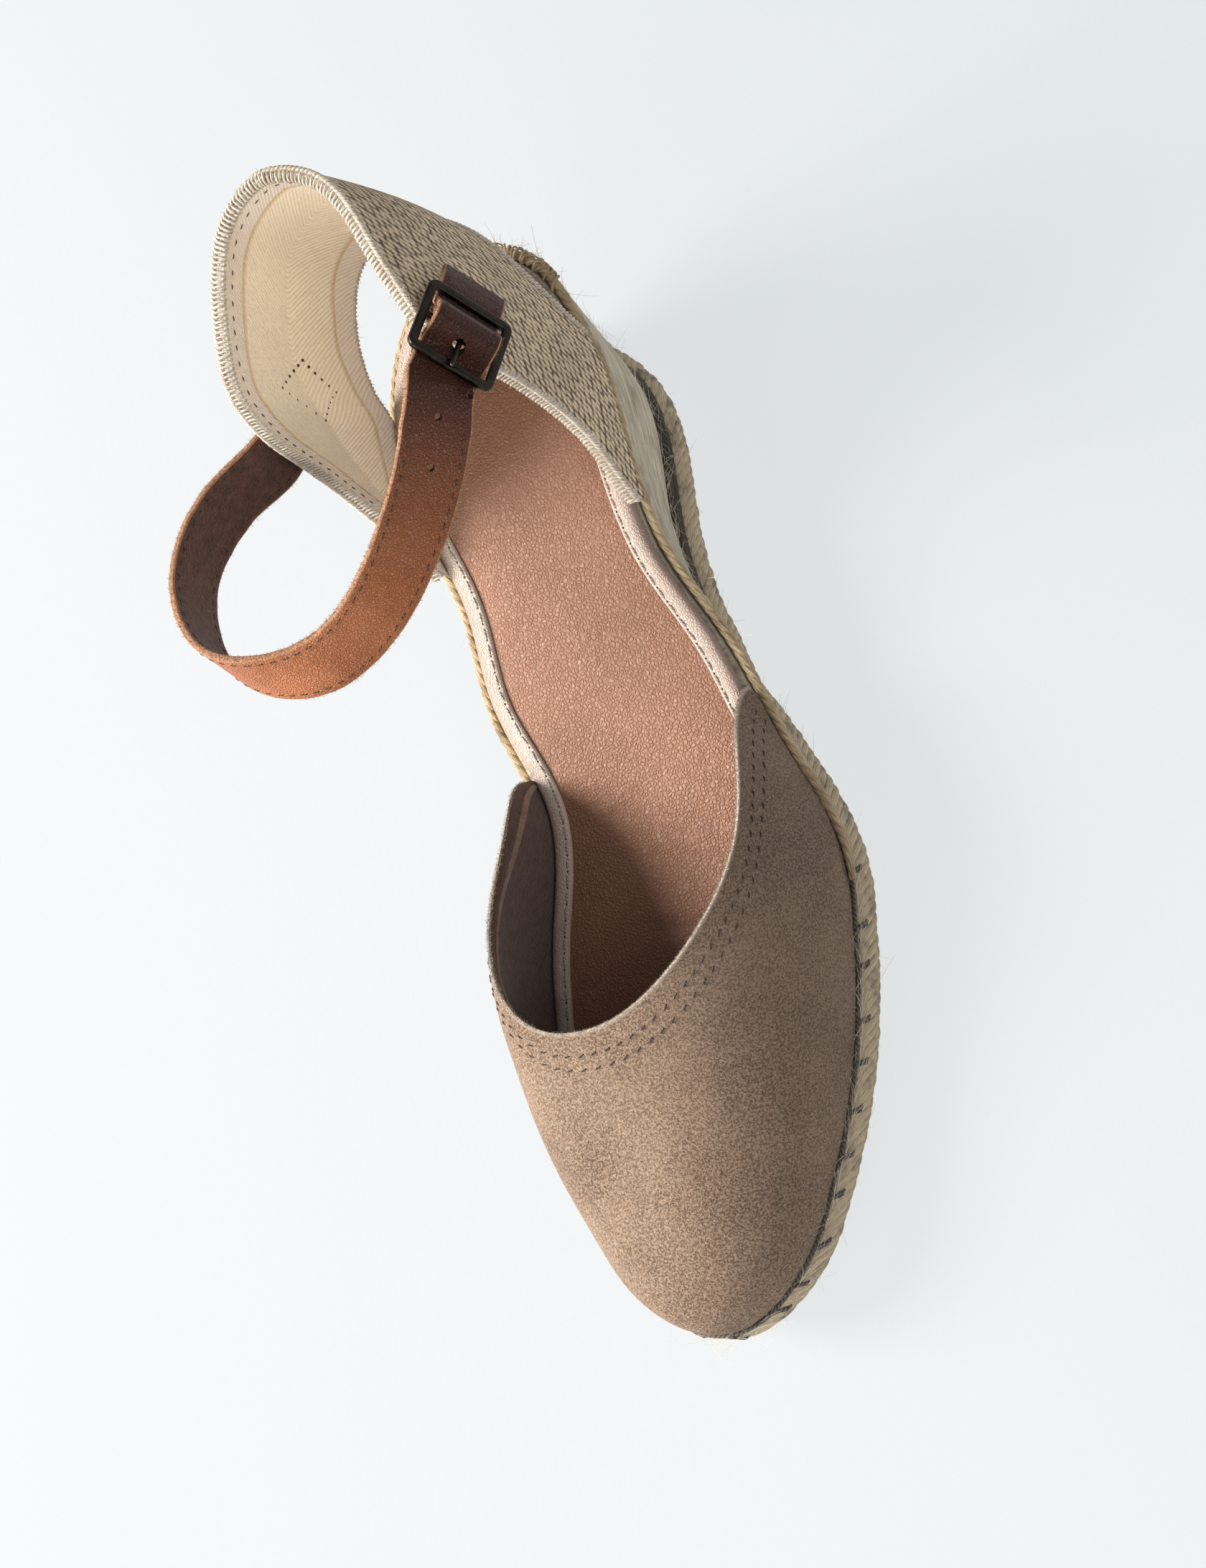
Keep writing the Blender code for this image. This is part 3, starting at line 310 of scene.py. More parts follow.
def plan_outline():
    """Insole edge as (x, along) points from the heel tip up the lateral side, round the toe and back."""
    width = {}
    for along, medial, lateral in PLAN_ROWS:
        mix = float(smooth(WIDTH_BLEND[0], WIDTH_BLEND[1], along))
        width[along] = HEEL_WIDTH * (1.0 - mix) + BALL_WIDTH * mix
    points = [(HEEL_TIP_SHARE * HEEL_WIDTH, 0.0)]
    points += [(lateral * width[along], along * LENGTH) for along, medial, lateral in PLAN_ROWS]
    points += [(TOE_TIP_SHARE * BALL_WIDTH, LENGTH)]
    points += [(-medial * width[along], along * LENGTH) for along, medial, lateral in reversed(PLAN_ROWS)]
    curve = spline(points, DENSE, closed=True)
    ahead = np.roll(curve, -1, axis=0) - np.roll(curve, 1, axis=0)
    normal = unit(np.stack([ahead[:, 1], -ahead[:, 0]], axis=1))
    return curve, normal


OUTLINE, OUTLINE_NORMAL = plan_outline()
TOE_INDEX = int(np.argmax(OUTLINE[:, 1]))


def offset_outline(out):
    return OUTLINE + OUTLINE_NORMAL * out


def side_x(along, out, lateral):
    """Where the lateral or medial edge lies, for the outline moved out by a distance."""
    curve = offset_outline(out)
    if lateral:
        part = curve[:TOE_INDEX + 1]
    else:
        part = np.vstack([curve[TOE_INDEX:], curve[:1]])[::-1]
    return np.interp(along, part[:, 1], part[:, 0])


def spring(along):
    """Height of the outsole's underside over the floor."""
    share = np.asarray(along, float) / LENGTH
    toe = TOE_SPRING * (np.clip(share - SPRING_START, 0.0, None) / (1.0 - SPRING_START)) ** 2
    shank = np.clip((share - SHANK_SPAN[0]) / (SHANK_SPAN[1] - SHANK_SPAN[0]), 0.0, 1.0)
    return toe + SHANK_LIFT * np.sin(math.pi * shank) ** 2


def outsole_top(along):
    return spring(along) + OUTSOLE_THICKNESS


def wedge_height(along):
    return HEEL_LIFT * monotone(WEDGE_ROWS, np.asarray(along, float) / LENGTH)


def support(along):
    """Top of the sole under the insole: the wedge at the back, the outsole in front."""
    return outsole_top(along) + wedge_height(along)


def ring_stations(end=None, count=RING_COUNT):
    """Outline indices from the heel tip to the toe, or to a cut across, closer at the round ends."""
    stop = LENGTH if end is None else end * LENGTH
    turn = math.pi if end is None else math.pi / 2.0
    share = (1.0 - np.cos(np.linspace(0.0, turn, count + 1)))
    return share / share[-1] * stop


def outline_mix(index):
    """Points and outward normals of the outline at places between its samples."""
    low = np.floor(index).astype(int)
    mix = (index - low)[..., None]
    base = OUTLINE[low % DENSE] * (1 - mix) + OUTLINE[(low + 1) % DENSE] * mix
    normal = unit(OUTLINE_NORMAL[low % DENSE] * (1 - mix) + OUTLINE_NORMAL[(low + 1) % DENSE] * mix)
    return base, normal


def side_index(along):
    """Places in the outline of the lateral and of the medial edge."""
    last = TOE_INDEX + 1
    medial_along = np.concatenate([OUTLINE[TOE_INDEX:, 1], OUTLINE[:1, 1]])[::-1]
    return (np.interp(along, OUTLINE[:last, 1], np.arange(last)),
            np.interp(along, medial_along, np.arange(DENSE, TOE_INDEX - 1, -1)))


def lay_out(base, normal, out, height):
    """Points of the shoe's frame that lie out of the outline by a distance, at a height by place."""
    moved = base + normal * np.broadcast_to(out(base[:, 1]) if callable(out) else out, len(base))[:, None]
    return np.stack([moved[:, 0], -moved[:, 1], height(np.clip(moved[:, 1], 0.0, LENGTH))], axis=1)


def level_normal(normal):
    return np.stack([normal[..., 0], -normal[..., 1], 0.0 * normal[..., 0]], axis=-1)


def ring(out, height, end=None, count=RING_COUNT):
    """Closed loop of points: heel tip, lateral side, toe tip (or cut), medial side."""
    lateral, medial = side_index(ring_stations(end, count))
    inner = slice(1, -1) if end is None else slice(1, None)
    base, normal = outline_mix(np.concatenate([lateral, medial[inner][::-1]]))
    return lay_out(base, normal, out, height)


def sole_out(along):
    return monotone(SOLE_OUT_ROWS, np.asarray(along, float) / LENGTH)


def wedge_side_share(along):
    """One where the wedge is thick enough to stand out under the cord, falling to nought in front."""
    room = wedge_height(along) - cord_seat_depth() - 2.0 * GAP
    return np.clip(room / (3.0 * MM), 0.0, 1.0)


def cord_seat_depth():
    return CORD_DROP + CORD_RADIUS + GAP


def cord_out(along):
    return monotone(CORD_OUT_ROWS, np.asarray(along, float) / LENGTH)


def cord_offset(along, radius):
    """How far out the cord lies so that it clears the lower edge of the upper."""
    upper_out = UPPER_CLEARANCE + UPPER_WALL
    above = np.clip(support(along) + GAP - cord_height(along), 0.0, None)
    reach = radius + GAP
    need = upper_out + np.sqrt(np.clip(reach ** 2 - above ** 2, 0.0, None))
    return np.maximum(cord_out(along), np.where(above < reach, need, 0.0))


def cord_height(along):
    lowest = outsole_top(along) + GAP + CORD_RADIUS
    return np.maximum(support(along) - CORD_DROP, lowest)


def vamp_edge(along, lateral):
    return side_x(along, UPPER_CLEARANCE + UPPER_WALL, lateral)


def ridge_top(along):
    share = np.asarray(along, float) / LENGTH
    end = 1.0 + (UPPER_CLEARANCE + UPPER_WALL) / LENGTH
    round_share = np.clip((share - TOE_ROUND_START) / (end - TOE_ROUND_START), 0.0, 1.0)
    height = INSTEP_HEIGHT * monotone(VAMP_ROWS, share)
    base = support(along) + GAP - outsole_top(along)
    return (height - base) * np.sqrt(1.0 - round_share ** TOE_ROUND_POWER)


def section_profile(across):
    return np.sqrt(np.clip(1.0 - np.abs(across) ** SECTION_POWER, 0.0, 1.0))


def vamp_plan(across, along):
    """Plan x of a place across the section, where -1 is the medial edge and 1 the lateral one."""
    lateral = vamp_edge(along, True)
    medial = vamp_edge(along, False)
    shifted = across - RIDGE_SHIFT * section_profile(across) ** 2
    return 0.5 * (lateral + medial) + 0.5 * (lateral - medial) * shifted


def vamp_across(x, along):
    """Place across the section for a plan point."""
    lateral = vamp_edge(along, True)
    medial = vamp_edge(along, False)
    place = (x - 0.5 * (lateral + medial)) / np.maximum(0.5 * (lateral - medial), 1e-6)
    across = np.clip(place, -1.0, 1.0)
    for _ in range(24):
        across = np.clip(place + RIDGE_SHIFT * section_profile(across) ** 2, -1.0, 1.0)
    return across


def vamp_height(x, along):
    """Outer height of the vamp over a plan point."""
    return support(along) + GAP + ridge_top(along) * section_profile(vamp_across(x, along))


def vamp_surface(turn, along):
    """Outer point of the vamp, by the turn across its section and the place along it."""
    across = np.sin(turn)
    height = support(along) + GAP + ridge_top(along) * section_profile(across)
    return np.stack([vamp_plan(across, along), -along, height], axis=-1)


def vamp_normal(x, along):
    """Outward normal of the vamp over a plan point, from small steps across and along it."""
    step = 0.004
    limit = math.pi / 2.0 - 3.0 * step
    turn = np.clip(np.arcsin(np.clip(vamp_across(x, along), -1.0, 1.0)), -limit, limit)
    reach = step * LENGTH * 0.25
    place = np.clip(along, reach, LENGTH - reach)
    across = vamp_surface(turn + step, place) - vamp_surface(turn - step, place)
    ahead = vamp_surface(turn, place + reach) - vamp_surface(turn, place - reach)
    normal = unit(np.cross(ahead, across))
    return np.where(normal[..., 2:3] < 0.0, -normal, normal)


def resample(curve, count, keys=3):
    """Even steps along a curve, measured in its first columns, with any other columns carried along."""
    steps = np.linalg.norm(np.diff(curve[:, :keys], axis=0), axis=1)
    length = np.concatenate([[0.0], np.cumsum(steps)])
    at = np.linspace(0.0, length[-1], count)
    return np.stack([np.interp(at, length, curve[:, k]) for k in range(curve.shape[1])], axis=1)


def outline_arc():
    closed = np.vstack([OUTLINE, OUTLINE[:1]])
    return np.concatenate([[0.0], np.cumsum(np.linalg.norm(np.diff(closed, axis=0), axis=1))])


def lean_direction(tangent, lean):
    """Width direction: upright, turned about the strap's own line by the lean."""
    tangent = unit(tangent)
    outward = unit(np.array([tangent[1], -tangent[0], 0.0]))
    upright = np.cross(outward, tangent)
    angle = math.radians(lean)
    return math.cos(angle) * upright + math.sin(angle) * outward


def lean_on(tangent, normal):
    """Lean in degrees at which the strap lies flat on a surface with this normal."""
    outward = unit(np.array([tangent[1], -tangent[0], 0.0]))
    upright = np.cross(outward, unit(tangent))
    return math.degrees(math.atan2(-float(normal @ upright), float(normal @ outward)))


def buckle_axes():
    """Centre of the buckle, the strap's line through it, its width and its outer face."""
    across, along, height = BUCKLE_PLACE
    centre = np.array([across * HEEL_WIDTH, -along * LENGTH, height * COLLAR_HEIGHT])
    heading = math.radians(BUCKLE_HEADING)
    dip = math.radians(BUCKLE_DIP)
    line = np.array([math.sin(heading) * math.cos(dip), math.cos(heading) * math.cos(dip), -math.sin(dip)])
    width = lean_direction(line, BUCKLE_LEAN)
    face = np.cross(line, width)
    return centre, line, width, face


def strap_level():
    """Heights of the strap over the buckle's plane: under the end bars, and over prong and centre bar."""
    half = BUCKLE_THICKNESS / 2.0
    under = -(half + GAP + STRAP_THICKNESS / 2.0)
    over = half + 2.0 * GAP + 2.0 * PRONG_RADIUS + STRAP_THICKNESS / 2.0
    return under, over


def strap_path(samples=90):
    """Centre line and width directions, from the medial seam to the tail past the buckle."""
    points = []
    leans = []
    for across, along, height, lean in STRAP_ROWS:
        points.append(np.array([across * HEEL_WIDTH, -along * LENGTH, height * COLLAR_HEIGHT]))
        leans.append(lean)
    centre, line, width, face = buckle_axes()
    under, over = strap_level()
    bar = BUCKLE_LENGTH / 2.0 - BUCKLE_BAR / 2.0
    near = bar + 0.5 * BUCKLE_BAR + 0.15 * MM
    window = BUCKLE_CENTRE_BAR / 2.0
    points += [centre - line * (near + 3.0 * MM) + face * under]
    leans += [BUCKLE_LEAN]
    lift = STRAP_THICKNESS / 2.0 + SEAM_CLEARANCE
    seam = [band_point(at, up) + lift * band_normal(at, up) for at, up in STRAP_SEAM]
    heading = seam[-1] - seam[0]
    points = seam + points
    leans = [lean_on(heading, band_normal(at, up)) for at, up in STRAP_SEAM] + leans
    data = np.hstack([np.array(points), np.array(leans)[:, None] * LEAN_WEIGHT])
    curve = spline(data, samples, closed=False)
    path = curve[:, :3]
    lean = curve[:, 3] / LEAN_WEIGHT
    tangent = unit(np.gradient(path, axis=0))
    widths = [lean_direction(t, a) for t, a in zip(tangent, lean)]
    local = np.linspace(-near, near, 17)
    for t in local:
        rise = 1.0 - float(smooth(window, bar - BUCKLE_BAR / 2.0 - 0.1 * MM, abs(t)))
        path = np.vstack([path, centre + line * t + face * (under + (over - under) * rise)])
        widths.append(width)
    for k in range(1, 4):
        t = near + STRAP_TAIL * k / 3.0
        path = np.vstack([path, centre + line * t + face * (under - TAIL_DIP * (k / 3.0) ** 2)])
        widths.append(width)
    return path, np.array(widths)


def prong_crossing():
    """Where the prong passes up through the strap, measured back from the buckle's centre."""
    return -0.42 * BUCKLE_LENGTH / 2.0


def outline_at(arc, side):
    """Points and outward normals of the outline at arcs from the heel tip, side 1 lateral or -1 medial."""
    lengths = outline_arc()
    place = np.where(np.asarray(side) > 0, arc, lengths[-1] - np.asarray(arc))
    return outline_mix(np.interp(place, lengths, np.arange(DENSE + 1)))


def band_point(at, up, depth=0.0):
    """Points of the heel band: at from -1 (medial end) to 1 (lateral end), up from 0 to 1 across it."""
    at, up = np.broadcast_arrays(np.asarray(at, float), np.asarray(up, float))
    value = {name: monotone(BAND_ROWS, np.abs(at), k) for k, name in enumerate(BAND_COLUMNS) if k}
    arc = LENGTH * (value["arc_low"] * (1 - up) + value["arc_top"] * up)
    rise = COLLAR_RISE * (value["rise_low"] * (1 - up) + value["rise_top"] * up)
    out = value["out_low"] * (1 - up) + value["out_top"] * up + value["bulge"] * 4.0 * up * (1.0 - up)
    base, normal = outline_at(arc, np.where(at >= 0.0, 1, -1))
    moved = base + normal * (out - depth)[..., None]
    share = np.minimum(rise / COLLAR_RISE, 1.0)
    z = support(np.clip(base[..., 1], 0.0, LENGTH)) + GAP + rise
    return np.stack([moved[..., 0] - COLLAR_SHIFT * share, -moved[..., 1], z], axis=-1)


def band_normal(at, up):
    """Outward normal of the band at places on it."""
    step = 0.01
    at, up = np.broadcast_arrays(np.asarray(at, float), np.asarray(up, float))
    along = band_point(at + step, up) - band_point(at - step, up)
    across = band_point(at, up + step) - band_point(at, up - step)
    normal = unit(np.cross(along, across))
    inside = band_point(at, up, step * COLLAR_RISE) - band_point(at, up)
    flip = np.sum(normal * inside, axis=-1, keepdims=True) > 0.0
    return np.where(flip, -normal, normal)


# Meshes

TO_MM = 1000.0
SHARP_ANGLE = math.radians(55.0)
TO_ORIGIN = np.array([0.0, HEEL_REST_ALONG, 0.0])
UP = np.array([0.0, 0.0, 1.0])


class Parts:
    """Grids of points gathered into one mesh, with coordinates in millimetres for the patterns."""

    def __init__(self):
        self.verts = []
        self.faces = []
        self.places = []
        self.slots = []
        self.count = 0

    def grid(self, points, places=None, slot=0, wrap_rows=False, wrap_columns=False):
        points = np.asarray(points, float)
        rows, columns = points.shape[:2]
        if places is None:
            places = surface_places(points)
        i = np.arange(rows if wrap_rows else rows - 1)[:, None]
        j = np.arange(columns if wrap_columns else columns - 1)[None, :]
        corner_rows = (i + 0 * j, i + 0 * j, i + 1 + 0 * j, i + 1 + 0 * j)
        corner_columns = (j + 0 * i, j + 1 + 0 * i, j + 1 + 0 * i, j + 0 * i)
        faces = []
        uv = []
        wide = places
        if wrap_rows:
            wide = np.concatenate([wide, wide[-1:] * [1, 0] * 2 - wide[-2:-1] * [1, 0] + wide[:1] * [0, 1]])
        if wrap_columns:
            last = wide[:, -1:] * [0, 1] * 2 - wide[:, -2:-1] * [0, 1] + wide[:, :1] * [1, 0]
            wide = np.concatenate([wide, last], axis=1)
        for a, b in zip(corner_rows, corner_columns):
            faces.append(((a % rows) * columns + b % columns).ravel())
            uv.append(wide[a.ravel(), b.ravel()])
        self.faces.append(np.stack(faces, axis=1) + self.count)
        self.places.append(np.stack(uv, axis=1))
        self.slots.append(np.full(len(faces[0]), slot))
        self.verts.append(points.reshape(-1, 3))
        self.count += rows * columns

    def tube(self, centres, radius, sides=6, slot=0, caps=True):
        """Round tube along centres; its ends close to a point."""
        centres = np.asarray(centres, float)
        radius = np.broadcast_to(radius, len(centres)).astype(float)
        tangent = unit(np.gradient(centres, axis=0))
        guide = np.array([0.0, 0.0, 1.0]) if abs(tangent[0][2]) < 0.9 else np.array([1.0, 0.0, 0.0])
        first = unit(np.cross(tangent[0], guide))
        across = [first]
        for t in tangent[1:]:
            across.append(unit(across[-1] - t * float(across[-1] @ t)))
        across = np.array(across)
        upward = np.cross(tangent, across)
        turn = np.linspace(0.0, 2.0 * math.pi, sides, endpoint=False)
        ring_points = (across[:, None] * np.cos(turn)[None, :, None]
                       + upward[:, None] * np.sin(turn)[None, :, None])
        points = centres[:, None] + ring_points * radius[:, None, None]
        if caps:
            ends = 0.6 * radius[[0, -1]]
            head = np.repeat((centres[0] - tangent[0] * ends[0])[None, None], sides, axis=1)
            tail = np.repeat((centres[-1] + tangent[-1] * ends[1])[None, None], sides, axis=1)
            points = np.concatenate([head, points, tail])
        self.grid(points, slot=slot, wrap_columns=True)

    def build(self, name, *finishes, tidy=True, weld=1e-7):
        verts = np.vstack(self.verts) + TO_ORIGIN
        faces = np.vstack(self.faces)
        mesh = bpy.data.meshes.new(name)
        mesh.vertices.add(len(verts))
        mesh.vertices.foreach_set("co", verts.ravel())
        mesh.loops.add(faces.size)
        mesh.loops.foreach_set("vertex_index", faces.ravel())
        mesh.polygons.add(len(faces))
        mesh.polygons.foreach_set("loop_start", np.arange(len(faces)) * 4)
        mesh.polygons.foreach_set("loop_total", np.full(len(faces), 4))
        mesh.polygons.foreach_set("material_index", np.concatenate(self.slots).astype(int))
        layer = mesh.uv_layers.new(name="places")
        layer.data.foreach_set("uv", np.vstack([p.reshape(-1, 2) for p in self.places]).ravel())
        mesh.update(calc_edges=True)
        mesh.validate()
        if tidy:
            work = bmesh.new()
            work.from_mesh(mesh)
            bmesh.ops.remove_doubles(work, verts=work.verts, dist=weld)
            bmesh.ops.recalc_face_normals(work, faces=work.faces)
            work.to_mesh(mesh)
            work.free()
        mesh.shade_smooth()
        mesh.set_sharp_from_angle(angle=SHARP_ANGLE)
        for finish in finishes:
            mesh.materials.append(finish)
        item = bpy.data.objects.new(name, mesh)
        bpy.context.scene.collection.objects.link(item)
        return item


def surface_places(points):
    """Distances in millimetres along the rows (u) and along the columns (v) of a grid."""
    down = np.linalg.norm(np.diff(points, axis=0), axis=2).mean(axis=1)
    right = np.linalg.norm(np.diff(points, axis=1), axis=2)
    u = np.concatenate([[0.0], np.cumsum(down)])[:, None] + np.zeros(points.shape[1])[None, :]
    v = np.concatenate([np.zeros((len(points), 1)), np.cumsum(right, axis=1)], axis=1)
    return np.stack([u, v], axis=-1) * TO_MM


def keep(item, slot, *nodes):
    """Puts a piece on the shoe, in place of the solids that it stands for."""
    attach(item, "root")
    if nodes:
        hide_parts(*nodes)
    return item


def path_lengths(points):
    return np.concatenate([[0.0], np.cumsum(np.linalg.norm(np.diff(points, axis=0), axis=1))])


def at_length(points, lengths, where):
    return np.stack([np.interp(where, lengths, points[:, k]) for k in range(points.shape[1])], axis=-1)


def stitches(parts, path, normals, pitch, stitch, radius, lift=0.0, slot=0, lean=0.0, seed=0, sides=5):
    """Separate threads along a path on a surface: each rises out of it, lies on it and goes back in."""
    random = np.random.default_rng(seed)
    lengths = path_lengths(path)
    side = unit(np.cross(normals, np.gradient(path, axis=0)))
    for start in np.arange(0.5 * pitch, lengths[-1] - stitch, pitch):
        start = start + random.uniform(-0.06, 0.06) * pitch
        where = np.linspace(start, start + stitch, 6)
        centre = at_length(path, lengths, where)
        normal = unit(at_length(normals, lengths, where))
        across = unit(at_length(side, lengths, where))
        rise = np.sin(np.linspace(0.0, math.pi, 6)) ** 0.6 * radius * 1.3 - radius * 0.7 + lift
        sway = np.linspace(-0.5, 0.5, 6) * (lean + random.uniform(-0.12, 0.12)) * stitch
        parts.tube(centre + normal * rise[:, None] + across * sway[:, None], radius, sides, slot)


def twist(path, normals, offset, pitch, phase):
    """Path of one strand wound round a centre line."""
    lengths = path_lengths(path)
    side = unit(np.cross(normals, np.gradient(path, axis=0)))
    turn = 2.0 * math.pi * lengths / pitch + phase
    return path + offset * (np.cos(turn)[:, None] * normals + np.sin(turn)[:, None] * side)


def stray_fibres(parts, count, seed, place, length, radius, spread, slot=0):
    """Loose fibres that leave a surface: place(random) gives a point, its outward normal and its run."""
    random = np.random.default_rng(seed)
    for _ in range(count):
        point, normal, run = place(random)
        size = length * random.uniform(0.4, 1.3)
        aim = unit(run * random.choice([-1.0, 1.0]) + normal * random.uniform(0.05, spread)
                   + random.normal(0.0, 0.25, 3))
        bend = random.normal(0.0, 0.5, 3)
        t = np.linspace(0.0, 1.0, 6)[:, None]
        curve = point + size * (aim * t + bend * 0.5 * t * t) - normal * 0.0002
        curve[:, 2] = np.maximum(curve[:, 2], 0.15 * MM)
        parts.tube(curve, radius * (1.0 - 0.6 * t[:, 0]), 3, slot, caps=False)


def fluff(parts, path, out, up, count, seed, reach, depth, radius=0.05 * MM):
    """Short fibres along an edge: out points away from it, up across it, over the edge's depth."""
    random = np.random.default_rng(seed)
    lengths = path_lengths(path)
    t = np.linspace(0.0, 1.0, 3)[:, None]
    for where in random.uniform(0.0, lengths[-1], count):
        normal = unit(at_length(up, lengths, where))
        start = at_length(path, lengths, where) - normal * random.uniform(0.0, 1.0) * depth
        aim = unit(unit(at_length(out, lengths, where)) * random.uniform(0.4, 1.2)
                   + normal * random.uniform(-0.3, 0.6)
                   + random.normal(0.0, 0.45, 3))
        size = random.uniform(0.35, 1.0) * reach
        parts.tube(start + aim * t * size, radius * (1.0 - 0.5 * t[:, 0]), 3, caps=False)


# Materials


class Look:
    """One material, with short ways to add its nodes."""

    def __init__(self, name, **values):
        self.material = bpy.data.materials.new(name)
        self.material.use_nodes = True
        self.tree = self.material.node_tree
        self.shader = self.tree.nodes["Principled BSDF"]
        sockets = {socket.name.lower().replace(" ", "_"): socket for socket in self.shader.inputs}
        for key, value in values.items():
            sockets[key].default_value = value
        self.point = self.add("ShaderNodeTexCoord").outputs["Object"]
        place = self.add("ShaderNodeSeparateXYZ", {0: self.add("ShaderNodeUVMap").outputs[0]})
        self.u = place.outputs[0]
        self.v = place.outputs[1]

    def add(self, kind, inputs=None, **settings):
        node = self.tree.nodes.new(kind)
        for key, value in settings.items():
            setattr(node, key, value)
        for key, value in (inputs or {}).items():
            if isinstance(value, bpy.types.NodeSocket):
                self.tree.links.new(value, node.inputs[key])
            else:
                node.inputs[key].default_value = value
        return node

    def math(self, operation, a, b=0.0):
        return self.add("ShaderNodeMath", {0: a, 1: b}, operation=operation).outputs[0]

    def times(self, a, b):
        return self.math("MULTIPLY", a, b)

    def weigh(self, *pairs):
        """Sum of values, each times its weight."""
        total = self.times(*pairs[0])
        for pair in pairs[1:]:
            total = self.math("ADD", total, self.times(*pair))
        return total

    def swing(self, value, pitch):
        """Sine of a value that repeats at a pitch."""
        return self.math("SINE", self.times(value, 2.0 * math.pi / pitch))

    def uneven(self, scale):
        """Noise about nought."""
        return self.math("SUBTRACT", self.noise(scale, 2.0, 0.5), 0.5)

    def vector(self, u_scale, v_scale, u=None):
        """Coordinates over the surface, in millimetres times the scales."""
        return self.add("ShaderNodeCombineXYZ", {0: self.times(self.u if u is None else u, u_scale),
                                                 1: self.times(self.v, v_scale)}).outputs[0]

    def pores(self, scale, edge):
        """Nought along the borders of small cells, one within them."""
        sockets = {"Vector": self.point, "Scale": scale}
        cell = self.add("ShaderNodeTexVoronoi", sockets, feature="DISTANCE_TO_EDGE")
        return self.ramp(cell.outputs[0], 0.0, edge)

    def noise(self, scale, detail=2.0, rough=0.5, vector=None):
        """Noise with features of about one over scale, in metres, or on a vector in millimetres."""
        inputs = {"Vector": self.point if vector is None else vector, "Scale": scale,
                  "Detail": detail, "Roughness": rough}
        return self.add("ShaderNodeTexNoise", inputs).outputs[0]

    def ramp(self, value, low, high, from_value=0.0, to_value=1.0):
        inputs = {0: value, 1: low, 2: high, 3: from_value, 4: to_value}
        return self.add("ShaderNodeMapRange", inputs, clamp=True).outputs[0]

    def mix(self, share, a, b):
        """Colour a where share is 0 and b where it is 1."""
        node = self.add("ShaderNodeMix", data_type="RGBA")
        for socket, value in zip((node.inputs[0], node.inputs[6], node.inputs[7]), (share, a, b)):
            if isinstance(value, bpy.types.NodeSocket):
                self.tree.links.new(value, socket)
            elif isinstance(value, tuple):
                socket.default_value = (*value, 1.0)
            else:
                socket.default_value = value
        return node.outputs[2]

    def finish(self, colour, height=None, distance=0.0003, roughness=None, strength=1.0):
        self.tree.links.new(colour, self.shader.inputs["Base Color"])
        if roughness is not None:
            self.tree.links.new(roughness, self.shader.inputs["Roughness"])
        if height is not None:
            bump = self.add("ShaderNodeBump", {"Strength": strength, "Distance": distance, "Height": height})
            self.tree.links.new(bump.outputs[0], self.shader.inputs["Normal"])
        return self.material


def plain_look(name, scale, low, high, detail=2.0, rough=0.5, span=None, bump=None, **values):
    """Two colours mixed by one noise, which may be sharpened and raised."""
    look = Look(name, **values)
    grain = look.noise(scale, detail, rough)
    share = grain if span is None else look.ramp(grain, *span)
    return look.finish(look.mix(share, low, high), None if bump is None else grain, bump)


def suede_look(name, light, dark, rim):
    """Brushed nap: tufts, fine hairs and cloudy patches, with painted shade darkening it towards the outer
    side of the foot.
    """
    look = Look(name, roughness=0.95, sheen_weight=0.22, sheen_roughness=0.45, specular_ior_level=0.10)
    look.shader.inputs["Sheen Tint"].default_value = (0.95, 0.82, 0.70, 1.0)
    hair = look.noise(3600.0, 2.0, 0.6)
    tuft = look.noise(1900.0, 3.0, 0.75)
    cloud = look.ramp(look.noise(38.0, 3.0, 0.55), 0.35, 0.68)
    tufts = look.ramp(tuft, 0.44, 0.57)
    hairs = look.ramp(hair, 0.42, 0.58)
    share = look.weigh((tufts, 0.56), (hairs, 0.26), (cloud, 0.24))
    colour = look.mix(share, dark, light)
    # Painted shade: the colour darkens towards +X, the outer side of the foot, where less light falls.
    across = look.add("ShaderNodeSeparateXYZ", {0: look.point}).outputs[0]
    colour = look.mix(look.ramp(across, -0.014, 0.036, 0.0, 0.35), colour, dark)
    colour = look.mix(look.ramp(look.v, rim[0], rim[1], 1.0, 0.0), colour, rim[2])
    return look.finish(colour, look.weigh((hair, 0.5), (tuft, 0.9)), 0.0015)


def leather_look(name, light, dark, grain=1500.0, roughness=0.45, patch=60.0, bump=0.00012, coat=0.0,
                 fade=None):
    """Smooth leather with pores, fine creases and a slightly uneven dye; a fade, when given, paints shade
    past a place along it.
    """
    look = Look(name, roughness=roughness, specular_ior_level=0.28, coat_weight=coat, coat_roughness=0.35)
    pore = look.pores(grain, 0.22)
    patchy = look.noise(patch, 4.0, 0.6)
    fine = look.noise(grain * 0.8, 3.0, 0.6)
    share = look.weigh((look.ramp(patchy, 0.3, 0.7), 0.7), (fine, 0.3))
    colour = look.mix(look.times(share, look.ramp(pore, 0.0, 1.0, 0.7, 1.0)), dark, light)
    # Painted shade: past a place along the strip the colour darkens to the shade colour.
    if fade is not None:
        low, high, shade = fade
        colour = look.mix(look.ramp(look.weigh((look.u, 1.0), (patchy, 16.0)), low, high), colour, shade)
    rough = look.ramp(look.weigh((patchy, 1.0), (fine, 0.4)), 0.4, 1.0, roughness - 0.06, roughness + 0.14)
    return look.finish(colour, look.weigh((pore, 1.0), (fine, 0.7)), bump, rough)


